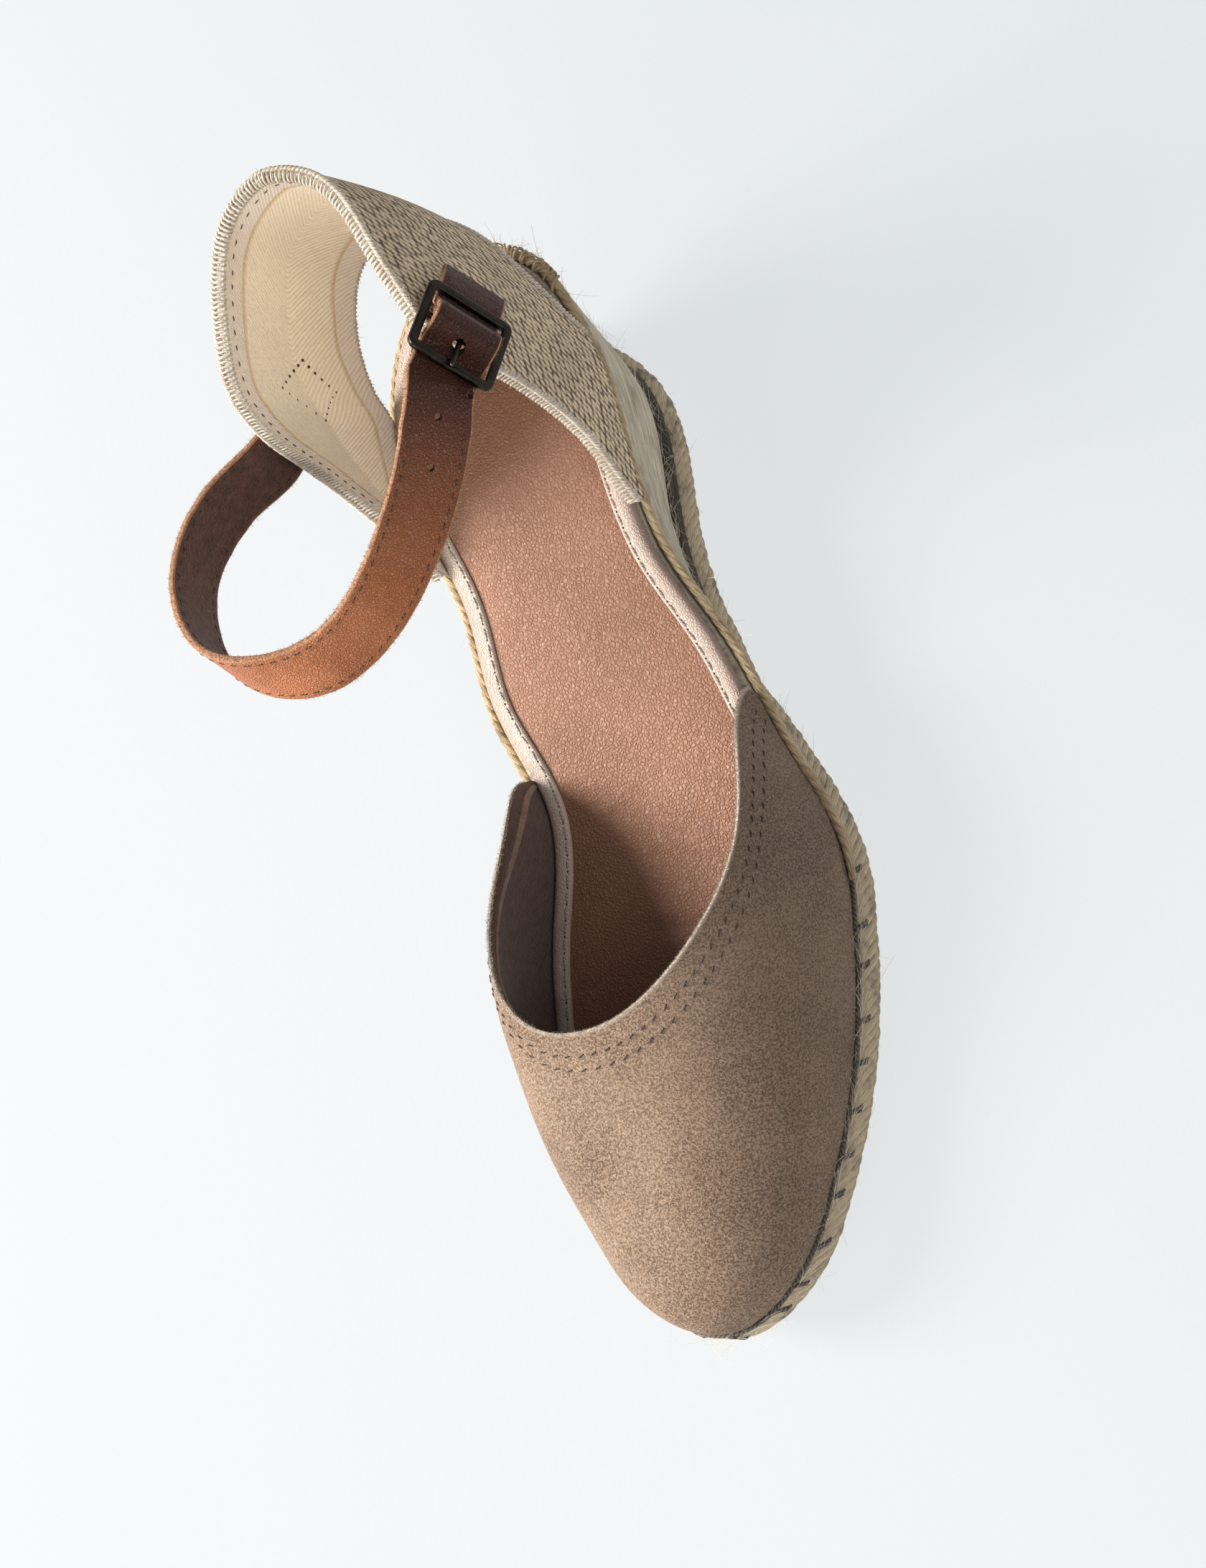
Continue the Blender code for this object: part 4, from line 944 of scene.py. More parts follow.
def flesh_look(name, light, dark):
    """Flesh side of leather: matt and fibrous."""
    look = Look(name, roughness=0.92, sheen_weight=0.25, specular_ior_level=0.15)
    fibre = look.noise(1800.0, 3.0, 0.7)
    share = look.ramp(look.weigh((fibre, 0.5), (look.noise(420.0, 3.0, 0.6), 0.5)), 0.35, 0.65)
    return look.finish(look.mix(share, dark, light), fibre, 0.0005)


def jute_look(name, light, dark, stain, along=0.12, across=2.2, stained=(0.62, 0.78), bump=0.0006):
    """Jute: long fibres that run along u, darker strands and dusty stains."""
    look = Look(name, roughness=0.95, sheen_weight=0.2, specular_ior_level=0.15)
    fibre = look.noise(1.0, 4.0, 0.65, look.vector(along, across))
    coarse = look.noise(1.0, 2.0, 0.5, look.vector(along * 0.35, across * 0.3))
    colour = look.mix(look.ramp(look.weigh((fibre, 0.65), (coarse, 0.35)), 0.36, 0.64), dark, light)
    dusty = look.ramp(look.noise(120.0, 3.0, 0.6), *stained)
    return look.finish(look.mix(look.times(dusty, 0.75), colour, stain), fibre, bump)


def thread_look(name, colour, shade, twist_pitch=0.9):
    look = Look(name, roughness=0.8, sheen_weight=0.2, specular_ior_level=0.25)
    ply = look.swing(look.weigh((look.u, 1.0 / twist_pitch), (look.v, 0.8)), 1.0)
    share = look.ramp(look.math("ADD", ply, look.noise(1500.0, 2.0, 0.6)), -0.6, 1.6)
    return look.finish(look.mix(share, shade, colour), share, 0.00015)


def metal_look(name, colour, worn):
    """Dark bronze plating, rubbed lighter on its sharpest edges and dulled in patches."""
    look = Look(name, metallic=0.9, roughness=0.36)
    edge = look.ramp(look.add("ShaderNodeNewGeometry").outputs["Pointiness"], 0.54, 0.62)
    patch = look.ramp(look.noise(350.0, 4.0, 0.6), 0.45, 0.7)
    scratch = look.noise(2400.0, 2.0, 0.6)
    share = look.math("MAXIMUM", look.times(edge, 0.7), look.times(patch, 0.15))
    rough = look.ramp(look.math("ADD", patch, scratch), 0.4, 1.4, 0.28, 0.52)
    return look.finish(look.mix(share, colour, worn), scratch, 0.00004, rough)


def canvas_look(name, raised, low, row=1.5, cell=1.9, lean=0.60):
    """Heavy canvas: uneven slubs in slanting rows, raised over a darker ground."""
    look = Look(name, roughness=0.95, sheen_weight=0.2, specular_ior_level=0.12)
    u = look.weigh((look.u, 1.0), (look.v, lean), (look.uneven(260.0), 0.7))
    slubs = look.add("ShaderNodeTexVoronoi", {"Vector": look.vector(1.0 / row, 1.0 / cell, u=u), "Scale": 1.0,
                                              "Randomness": 0.34}, voronoi_dimensions="2D")
    slub = look.ramp(slubs.outputs["Distance"], 0.22, 0.62, 1.0, 0.0)
    fibre = look.noise(2200.0, 3.0, 0.65)
    share = look.weigh((slub, 0.75), (fibre, 0.45), (slubs.outputs["Color"], 0.22))
    colour = look.mix(look.ramp(share, 0.36, 0.86), low, raised)
    colour = look.mix(look.ramp(look.noise(70.0, 2.0, 0.5), 0.4, 0.75, 0.0, 0.25), colour, low)
    return look.finish(colour, look.weigh((slub, 1.0), (fibre, 0.35)), 0.0009)


def lining_look(name, centre, strip, seam):
    """Thin lining with a fine diagonal weave, a strip along each edge and the golden seam between them."""
    look = Look(name, roughness=0.85, sheen_weight=0.3, specular_ior_level=0.15)
    rib = look.swing(look.weigh((look.u, 1.0), (look.v, 0.7)), 0.95)
    fine = look.noise(2600.0, 3.0, 0.6)
    depth = look.weigh((look.v, 1.0), (look.uneven(60.0), 2.0))
    in_strip = look.ramp(depth, 7.2, 7.8, 1.0, 0.0)
    line = look.times(look.ramp(depth, 7.3, 7.8), look.ramp(depth, 8.0, 9.2, 1.0, 0.0))
    soft = look.ramp(look.noise(45.0, 3.0, 0.5), 0.35, 0.7)
    colour = look.mix(in_strip, look.mix(look.times(soft, 0.35), centre, strip), strip)
    colour = look.mix(look.times(line, 0.75), colour, seam)
    weave = look.weigh((fine, 1.0), (rib, 0.20))
    colour = look.mix(look.ramp(weave, 0.25, 0.52, 0.38, 0.0), colour, seam)
    return look.finish(colour, look.weigh((rib, 0.45), (fine, 1.0), (line, -2.0)), 0.0002)


def insole_look():
    """Thin sock leather: fine grain, small forefoot creases and softly worn places."""
    look = Look("sock_leather", roughness=0.5, specular_ior_level=0.45, coat_weight=0.12, coat_roughness=0.38)
    pore = look.pores(1100.0, 0.25)
    fine = look.noise(1700.0, 3.0, 0.65)
    wrinkle = look.noise(620.0, 3.0, 0.6)
    cloud = look.noise(30.0, 4.0, 0.6)
    colour = look.mix(look.ramp(cloud, 0.35, 0.7), (0.255, 0.118, 0.068), (0.325, 0.158, 0.093))
    colour = look.mix(look.ramp(wrinkle, 0.45, 0.65, 0.0, 0.16), colour, (0.20, 0.090, 0.052))
    colour = look.mix(look.ramp(pore, 0.0, 0.6, 0.30, 0.0), colour, (0.20, 0.095, 0.058))
    rough = look.ramp(look.weigh((wrinkle, 1.0), (fine, 0.5)), 0.5, 1.0, 0.38, 0.60)
    return look.finish(colour, look.weigh((pore, 0.5), (fine, 0.5), (wrinkle, 0.55)), 0.00034, rough)


# Outsole, wedge and cord

SOLE_STATIONS = 230
PLAIT_THICKNESS = 3.6 * MM
PLAIT_STRAND = 1.28 * MM
PLAIT_LEAN = 0.9 * MM
PLAIT_SPACING = 2.6 * MM
PLAIT_PITCH = 16.0 * MM
GROOVE_REACH = 5.0 * MM


def loops_piece(name, levels, slots, end, toe_tip, finishes, count=SOLE_STATIONS):
    """Closed body from loops round the outline; each step between loops takes a finish."""
    rings = [ring(out, height, end, count) for out, height in levels]
    parts = Parts()
    loops = np.array(rings)
    lengths = path_lengths(np.vstack([loops[0], loops[0][:1]])) * TO_MM
    gaps = np.linalg.norm(np.diff(loops, axis=0), axis=2).mean(axis=1)
    rise = np.concatenate([[0.0], np.cumsum(gaps)]) * TO_MM
    size = len(loops[0])
    closed = np.concatenate([loops, loops[:, :1]], axis=1)
    for level, slot in enumerate(slots):
        pair = closed[level:level + 2].transpose(1, 0, 2)
        places = np.stack([np.repeat(lengths[:, None], 2, axis=1),
                           np.repeat(rise[None, level:level + 2], size + 1, axis=0)], axis=-1)
        parts.grid(pair, places, slot)
    half = size // 2
    last = half if toe_tip else half + 1
    steps = np.linspace(0.0, 1.0, 9)[None, :, None]
    for loop, slot in ((loops[0], slots[0]), (loops[-1], slots[-1])):
        lateral = loop[0:last + 1] if toe_tip else loop[0:last]
        medial = np.vstack([loop[:1], loop[::-1][:len(lateral) - 1]])
        cap = lateral[:, None] * (1 - steps) + medial[:, None] * steps
        parts.grid(cap, cap[..., :2] * TO_MM, slot)
    return parts.build(name, *finishes)


def rim_path(step, out, height):
    """Closed path round the sole and its outward normals."""
    arcs = outline_arc()
    base, normal = outline_at(np.arange(0.0, arcs[-1] + step, step).clip(max=arcs[-1]), 1)
    return lay_out(base, normal, out, height), level_normal(normal)


def make_outsole():
    """Jute sole: a rubber underside, a core painted dark as the groove's shade, and one thick plait on edge
    round its side.
    """
    levels = [(lambda a: sole_out(a) - 4.0 * MM, spring),
              (lambda a: sole_out(a) - PLAIT_THICKNESS, spring),
              (lambda a: sole_out(a) - 1.2 * MM, lambda a: spring(a) + 1.6 * MM),
              (lambda a: sole_out(a) - 1.2 * MM, lambda a: outsole_top(a) - 1.6 * MM),
              (lambda a: sole_out(a) - 2.4 * MM, lambda a: outsole_top(a) - 0.2 * MM),
              (lambda a: sole_out(a) - GROOVE_REACH, lambda a: outsole_top(a) - 1.2 * MM),
              (lambda a: sole_out(a) - GROOVE_REACH - 1.5 * MM, lambda a: outsole_top(a) - 1.1 * MM)]
    under = Look("sole_rubber", roughness=0.7, specular_ior_level=0.3)
    patches = under.ramp(under.noise(60.0, 3.0, 0.6), 0.3, 0.7)
    tone = under.mix(patches, (0.20, 0.14, 0.09), (0.30, 0.22, 0.14))
    grit = under.noise(1400.0, 3.0, 0.6)
    under.finish(tone, under.weigh((under.swing(under.v, 5.0), 1.0), (grit, 1.0)), 0.0006)
    # Painted shade: the core's side, seen in the groove, is coloured near black for the shade there.
    dark = jute_look("groove_jute", (0.09, 0.065, 0.045), (0.014, 0.010, 0.008), (0.02, 0.015, 0.015))
    item = loops_piece("jute_outsole", levels, [1, 1, 0, 0, 0, 0], None, True, (dark, under.material))
    keep(item, "jute_sole", "outsole")
    plait = Parts()
    half = OUTSOLE_THICKNESS / 2.0

    def low(along):
        """Under the wedge the plait stops short of the groove."""
        return 0.72 + 0.28 * smooth(0.44 * LENGTH, 0.54 * LENGTH, along)

    path, normal = rim_path(0.8 * MM, lambda a: sole_out(a) + SIDE_BULGE - PLAIT_STRAND - PLAIT_LEAN,
                            lambda a: spring(a) + half * low(a))
    lengths = path_lengths(path)
    random = np.random.default_rng(31)
    turn = np.radians(np.linspace(-112.0, 128.0, 15))
    for where in np.linspace(0.0, lengths[-1], round(lengths[-1] / PLAIT_SPACING), endpoint=False):
        places = (where + turn / (2.0 * math.pi) * PLAIT_PITCH + random.normal(0.0, 0.16) * MM) % lengths[-1]
        out = (PLAIT_LEAN + random.normal(0.0, 0.12) * MM) * np.cos(turn)
        along = -float(at_length(path, lengths, where)[1])
        rise = (half * low(along) - PLAIT_STRAND - 0.05 * MM) * np.sin(turn)
        centre = at_length(path, lengths, places) + unit(at_length(normal, lengths, places)) * out[:, None]
        plait.tube(centre + UP * rise[:, None], PLAIT_STRAND * random.uniform(0.86, 1.04), 10)
    finish = jute_look("jute_sole", (0.92, 0.76, 0.52), (0.42, 0.29, 0.155), (0.24, 0.195, 0.15), along=0.45,
                       across=3.2, stained=(0.53, 0.66), bump=0.0012)
    keep(plait.build("jute_plait", finish), "jute_sole")


def wedge_side(along, share, bulge):
    foot = sole_out(along) - WEDGE_FOOT_INSET
    full = foot * (1.0 - share) + (cord_out(along) + WEDGE_TOP_BEYOND) * share + bulge
    return wedge_plateau(along) + (full - wedge_plateau(along)) * wedge_side_share(along)


def wedge_plateau(along):
    return cord_out(along) - CORD_RADIUS - 1.2 * GAP


def make_wedge():
    """Jute wedge: pale combed fibres along its side and a groove below, painted dark as shade."""
    def bottom(along):
        return outsole_top(along) + GAP

    def shoulder(along):
        return np.maximum(support(along) - cord_seat_depth(), bottom(along) + GAP)

    def between(along, share):
        return bottom(along) + share * (shoulder(along) - bottom(along))

    def level(along, share, least):
        return np.minimum(np.maximum(between(along, share), bottom(along) + least), shoulder(along))

    # share of the side's height, its least rise and its bulge
    rows = ((0.0, 0.0, -2.4 * MM), (0.0, 1.0 * MM, -2.2 * MM), (0.0, 2.0 * MM, -1.8 * MM),
            (0.0, 3.2 * MM, -1.0 * MM),
            (0.12, 3.7 * MM, -0.1 * MM), (0.3, 4.0 * MM, 0.5 * MM), (0.5, 4.6 * MM, 0.6 * MM),
            (0.65, 5.0 * MM, 0.6 * MM), (0.8, 5.4 * MM, 0.45 * MM), (0.93, 5.8 * MM, 0.2 * MM),
            (1.0, 6.0 * MM, -0.2 * MM))
    levels = [(lambda a, s=share, b=bulge: wedge_side(a, s, b), lambda a, s=share, m=least: level(a, s, m))
              for share, least, bulge in rows]
    levels.append((wedge_plateau, lambda a: shoulder(a) + 0.2 * GAP))
    levels.append((wedge_plateau, support))
    side = jute_look("jute_wedge", (0.76, 0.68, 0.53), (0.34, 0.27, 0.18), (0.26, 0.20, 0.14), along=0.14,
                     across=1.5, stained=(0.56, 0.76), bump=0.0012)
    # Painted shade: the lowest steps of the side, in the groove, take a near-black jute.
    dark = jute_look("wedge_groove", (0.08, 0.055, 0.04), (0.012, 0.009, 0.008), (0.02, 0.015, 0.015))
    slots = [1, 1, 1] + [0] * (len(levels) - 4)
    item = loops_piece("jute_wedge", levels, slots, WEDGE_END, False, (side, dark), 200)
    keep(item, "jute_wedge", "wedge")


def edge_path(along_end, count, out, height):
    """Path round the heel from the medial side to the lateral one, with its outward normals."""
    lateral, medial = side_index(along_end * np.linspace(0.0, 1.0, count) ** 1.15)
    base, normal = outline_mix(np.concatenate([medial[:0:-1], lateral]))
    return lay_out(base, normal, out, height), level_normal(normal)


def cord_radius(along):
    return CORD_RADIUS + (CORD_END_RADIUS - CORD_RADIUS) * smooth(
        (WEDGE_END - 0.06) * LENGTH, WEDGE_END * LENGTH, along)


def make_cord():
    """Three twisted strands of golden jute round the top edge."""
    path, normal = edge_path((WEDGE_END - 0.004) * LENGTH, 420,
                             lambda a: cord_offset(a, cord_radius(a)), cord_height)
    radius = cord_radius(-path[:, 1])
    parts = Parts()
    for phase in (0.0, 2.0 * math.pi / 3.0, 4.0 * math.pi / 3.0):
        strand = twist(path, normal, (0.40 * radius)[:, None], 9.0 * MM, phase)
        parts.tube(strand, 0.60 * radius, 10)
    finish = jute_look("jute_cord", (0.82, 0.65, 0.40), (0.27, 0.17, 0.085), (0.16, 0.10, 0.06),
                       along=0.25, across=2.8, bump=0.0009)
    keep(parts.build("twisted_cord", finish), "jute_cord", "edge_cord")


def make_heel_wrap():
    """Raffia wound over the cord where its ends meet behind the heel."""
    random = np.random.default_rng(5)
    path, normal = edge_path(34.0 * MM, 120, cord_out, cord_height)
    lengths = path_lengths(path)
    parts = Parts()
    for where in np.linspace(0.46, 0.78, 22):
        centre = at_length(path, lengths, where * lengths[-1])
        out = unit(at_length(normal, lengths, where * lengths[-1]))
        run = unit(np.array([-out[1], out[0], 0.0]))
        turn = np.linspace(-0.95, 1.25, 14) * math.pi * 0.62
        reach = CORD_RADIUS + 0.35 * MM + random.uniform(0.0, 0.25) * MM
        lean = random.uniform(-0.7, 0.9)
        loop = [centre + reach * (math.cos(t) * out + math.sin(t) * UP) + run * lean * reach * t
                for t in turn]
        parts.tube(np.array(loop), random.uniform(0.22, 0.42) * MM, 6)
    finish = jute_look("raffia", (0.62, 0.47, 0.29), (0.24, 0.15, 0.08), (0.16, 0.10, 0.06), along=0.4,
                       across=3.0)
    keep(parts.build("heel_wrap", finish), "jute_cord")


def make_sole_threads():
    """Dark blanket stitches and their line where the suede meets the sole."""
    parts = Parts()
    base, normal = outline_mix(np.linspace(0, DENSE, 1400))
    front = base[:, 1] > WEDGE_END * LENGTH * 0.97
    base = base[front]
    normal = normal[front]
    along = base[:, 1]

    def lay(out, height):
        moved = base + normal * np.asarray(out)[..., None]
        return np.stack([moved[:, 0], -moved[:, 1], height], axis=1)

    wall = UPPER_CLEARANCE + UPPER_WALL
    random = np.random.default_rng(3)
    wave = 0.12 * MM * np.sin(path_lengths(lay(wall, 0.0 * along)) / (3.1 * MM))
    line = lay(wall + 0.42 * MM + wave, outsole_top(along) + 0.55 * MM)
    parts.tube(line, 0.5 * MM, 8)
    lengths = path_lengths(line)
    for where in np.arange(4.0 * MM, lengths[-1], 10.0 * MM):
        where = where + random.uniform(-2.0, 2.0) * MM
        k = int(np.searchsorted(lengths, where))
        if k >= len(along) - 1:
            continue
        a = along[k]
        run = unit(line[k + 1] - line[k])
        side = float(sole_out(a)) + SIDE_BULGE
        ends = ((wall + 0.4 * MM, 0.7), (wall + 0.9 * MM, 0.35), (side - 0.5 * MM, -1.2),
                (side - 0.15 * MM, -2.6),
                (side - 0.9 * MM, -3.8))
        slant = random.uniform(-3.4, -2.0) * MM
        points = []
        for i, (out, drop) in enumerate(ends):
            spot = base[k] + normal[k] * out
            points.append(np.array([spot[0], -spot[1], float(outsole_top(a)) + drop * MM])
                          + run * slant * i / len(ends))
        parts.tube(spline(points, 12, closed=False), random.uniform(0.30, 0.46) * MM, 7)
        parts.tube(spline([p + run * random.uniform(0.4, 0.9) * MM for p in points], 12,
                          closed=False), 0.28 * MM, 7)
    finish = thread_look("dark_thread", (0.135, 0.115, 0.100), (0.040, 0.032, 0.027), 1.2)
    keep(parts.build("sole_threads", finish), "jute_cord")


def make_strays():
    """Loose fibres along the wedge's side, its groove, the sole and the cord."""
    arcs = outline_arc()

    def side_spot(random, level):
        arc = random.uniform(0.0, arcs[-1])
        base, normal = outline_at(arc, 1)
        along = float(base[1])
        out, height = level(along, random)
        spot = base + normal * out
        outward = np.array([normal[0], -normal[1], 0.0])
        run = np.array([-normal[1], -normal[0], 0.0])
        return np.array([spot[0], -spot[1], height]), outward, run

    def on_groove(along, random):
        return float(sole_out(along)) - 1.6 * MM, float(outsole_top(along)) + random.uniform(-1.0, 2.4) * MM

    def on_side(along, random):
        share = random.uniform(0.1, 1.0)
        low = float(outsole_top(along))
        high = max(float(support(along)) - cord_seat_depth(), low)
        on_wedge = along < WEDGE_END * LENGTH * 0.9
        out = float(wedge_side(along, share, 0.5 * MM)) if on_wedge else float(sole_out(along))
        return out, low + share * (high - low)

    def on_sole(along, random):
        level = float(spring(along)) + random.uniform(0.2, 0.95) * OUTSOLE_THICKNESS
        return float(sole_out(along)) + 0.4 * MM, level

    parts = Parts()
    stray_fibres(parts, 520, 11, lambda r: side_spot(r, on_groove), 4.6 * MM, 0.055 * MM, 0.45)
    stray_fibres(parts, 1300, 12, lambda r: side_spot(r, on_side), 6.0 * MM, 0.05 * MM, 0.14)
    stray_fibres(parts, 420, 13, lambda r: side_spot(r, on_sole), 3.6 * MM, 0.05 * MM, 0.18)
    light = plain_look("loose_fibres", 200.0, (0.48, 0.38, 0.25), (0.80, 0.72, 0.58), roughness=0.8,
                       sheen_weight=0.3)
    keep(parts.build("jute_strays", light, tidy=False), "jute_wedge")
    heel = Parts()
    random = np.random.default_rng(21)
    for _ in range(46):
        arc = abs(random.normal(10.0, 12.0)) * MM
        base, normal = outline_at(arc, 1)
        outward = np.array([normal[0], -normal[1], 0.0])
        run = np.array([-normal[1], -normal[0], 0.0])
        along = float(base[1])
        spot = base + normal * (float(cord_out(along)) + CORD_RADIUS)
        start = np.array([spot[0], -spot[1], float(cord_height(along)) + random.uniform(0.0, 1.6) * MM])
        t = np.linspace(0.0, 1.0, 7)[:, None]
        aim = unit(outward * random.uniform(0.2, 1.0) + UP * random.uniform(-0.2, 0.8)
                   + run * random.uniform(-1.2, 1.2))
        curve = start + random.uniform(1.5, 5.0) * MM * (aim * t + random.normal(0.0, 0.35, 3) * t * t)
        heel.tube(curve, 0.07 * MM * (1.0 - 0.6 * t[:, 0]), 4, caps=False)
    brown = plain_look("heel_fibres", 250.0, (0.30, 0.18, 0.08), (0.66, 0.50, 0.30), roughness=0.8,
                       sheen_weight=0.3)
    keep(heel.build("heel_strays", brown, tidy=False), "jute_cord")


# Insole and rand

CREASES = (
    # along, across from -1 medial to 1 lateral, reach along, reach across, depth, slant
    (0.560, 0.55, 1.1, 15.0, 0.22, 0.35),
    (0.585, 0.30, 1.3, 18.0, 0.26, 0.25),
    (0.610, 0.60, 1.2, 14.0, 0.25, 0.40),
    (0.640, 0.10, 1.5, 22.0, 0.24, 0.15),
    (0.665, 0.45, 1.2, 16.0, 0.22, 0.30),
    (0.520, -0.45, 1.4, 13.0, 0.18, -0.3),
)


def make_insole():
    """Sock leather with a shallow dish under heel and ball and a few creases at the forefoot."""
    reach = -BINDING_WIDTH - GAP
    rows = 260
    columns = 84
    t = np.linspace(-1.0, 1.0, columns)
    ends = offset_outline(reach)[:, 1]
    along = np.clip(ring_stations(None, rows), float(ends.min()) + 0.3 * MM, float(ends.max()) - 0.3 * MM)
    lateral = side_x(along, reach, True)
    medial = side_x(along, reach, False)
    middle = 0.5 * (lateral + medial)[:, None]
    half = 0.5 * (lateral - medial)[:, None]
    x = middle + half * t[None, :]
    y = -along[:, None] + 0.0 * x
    base = (support(along) + GAP + INSOLE_THICKNESS)[:, None] + 0.0 * x
    edge = 1.0 - np.abs(t)[None, :] ** 6
    share = along[:, None] / LENGTH
    dish = 0.9 * np.exp(-((share - 0.13) / 0.12) ** 2) + 0.7 * np.exp(-((share - 0.66) / 0.15) ** 2)
    z = base - dish * MM * (1.0 - t[None, :] ** 2)
    for at, across, long_reach, wide_reach, depth, slant in CREASES:
        dx = (x - (middle + half * across)) * TO_MM
        dy = (y + at * LENGTH) * TO_MM + slant * dx
        z = z - 1.5 * depth * MM * np.exp(-(dy / long_reach) ** 2 - (dx / wide_reach) ** 2)
        z = z + 0.5 * depth * MM * np.exp(-((dy - 2.2) / 1.4) ** 2 - (dx / wide_reach) ** 2)
    z = base - 0.5 * MM * (1.0 - edge) + (z - base) * edge
    top = np.stack([x, y, z], axis=-1)
    low = top.copy()
    low[..., 2] = (support(along) + GAP)[:, None]
    parts = Parts()
    parts.grid(top, top[..., :2] * TO_MM)
    parts.grid(low, low[..., :2] * TO_MM)
    for line in ((slice(None), 0), (slice(None), -1), (0, slice(None)), (-1, slice(None))):
        parts.grid(np.stack([top[line], low[line]], axis=1))
    keep(parts.build("sock", insole_look()), "sock_leather", "insole")


def make_binding():
    """Pale rand, rounded outside, with its thread and needle holes along the inner edge. The darker outer
    side and the dark needle holes are painted shade.
    """
    w = BINDING_WIDTH
    profile = [(-w, 0.0), (-w, 0.84), (-w + 0.25 * MM, 0.97), (-w + 0.6 * MM, 1.0), (-w + 0.8 * MM, 0.97),
               (-w + 1.0 * MM, 1.0), (-2.6 * MM, 1.0), (-1.9 * MM, 0.985), (-1.2 * MM, 0.93),
               (-0.6 * MM, 0.82),
               (-0.25 * MM, 0.64), (-0.1 * MM, 0.42), (-0.1 * MM, 0.0)]
    loops = [ring(out, lambda a, s=s: support(a) + GAP + s * BINDING_THICKNESS, None, 220)
             for out, s in profile]
    sections = np.array(loops).transpose(1, 0, 2)
    parts = Parts()
    places = surface_places(sections)
    parts.grid(sections, places, wrap_rows=True, wrap_columns=True)
    look = Look("rand_leather", roughness=0.5, specular_ior_level=0.4)
    pore = look.pores(1500.0, 0.25)
    fine = look.noise(1300.0, 3.0, 0.65)
    # Painted shade: the rand darkens over its outer side, where it curves down towards the cord.
    colour = look.mix(look.ramp(look.v, 4.0, 6.6), (0.66, 0.55, 0.46), (0.36, 0.25, 0.20))
    colour = look.mix(look.ramp(look.noise(70.0, 3.0, 0.6), 0.4, 0.75, 0.0, 0.45), colour, (0.42, 0.31, 0.25))
    colour = look.mix(look.ramp(pore, 0.0, 0.6, 0.3, 0.0), colour, (0.34, 0.25, 0.22))
    look.finish(colour, look.weigh((pore, 0.7), (fine, 1.0)), 0.0002)
    keep(parts.build("rand", look.material), "rand_leather", "insole_binding")
    inner = ring(-w + 0.85 * MM, lambda a: support(a) + GAP + BINDING_THICKNESS - 0.02 * MM, None, 420)
    inner = np.vstack([inner, inner[:1]])
    up = np.tile(UP, (len(inner), 1))
    thread = Parts()
    stitches(thread, inner, up, 3.9 * MM, 2.7 * MM, 0.23 * MM, lean=0.05, seed=2)
    finish = thread_look("pale_thread", (0.50, 0.44, 0.38), (0.20, 0.16, 0.13))
    keep(thread.build("rand_thread", finish), "rand_leather")
    # Dark dots along the stitch line: painted shade standing in for the needle holes.
    holes = Parts()
    lengths = path_lengths(inner)
    for where in np.arange(0.5 * 3.9 * MM - 0.45 * MM, lengths[-1], 3.9 * MM):
        centre = at_length(inner, lengths, where)
        ahead = unit(at_length(inner, lengths, min(where + 0.4 * MM, lengths[-1])) - centre)
        holes.tube(np.array([centre - ahead * 0.2 * MM, centre + ahead * 0.2 * MM]), 0.20 * MM, 7)
    dark = plain_look("needle_holes", 800.0, (0.05, 0.035, 0.028), (0.11, 0.08, 0.065), roughness=1.0)
    keep(holes.build("rand_needle_holes", dark), "rand_leather")


# Suede vamp

VAMP_FOLDS = (
    # along, across, reach along, reach across, depth in mm, slant
    (0.700, 0.62, 5.0, 16.0, 0.30, 0.5),
    (0.660, 0.80, 4.0, 12.0, 0.25, 0.4),
    (0.760, -0.55, 9.0, 12.0, 0.45, -0.3),
    (0.800, 0.30, 11.0, 26.0, 0.25, 0.1),
    (0.860, -0.20, 9.0, 22.0, -0.20, 0.1),
)


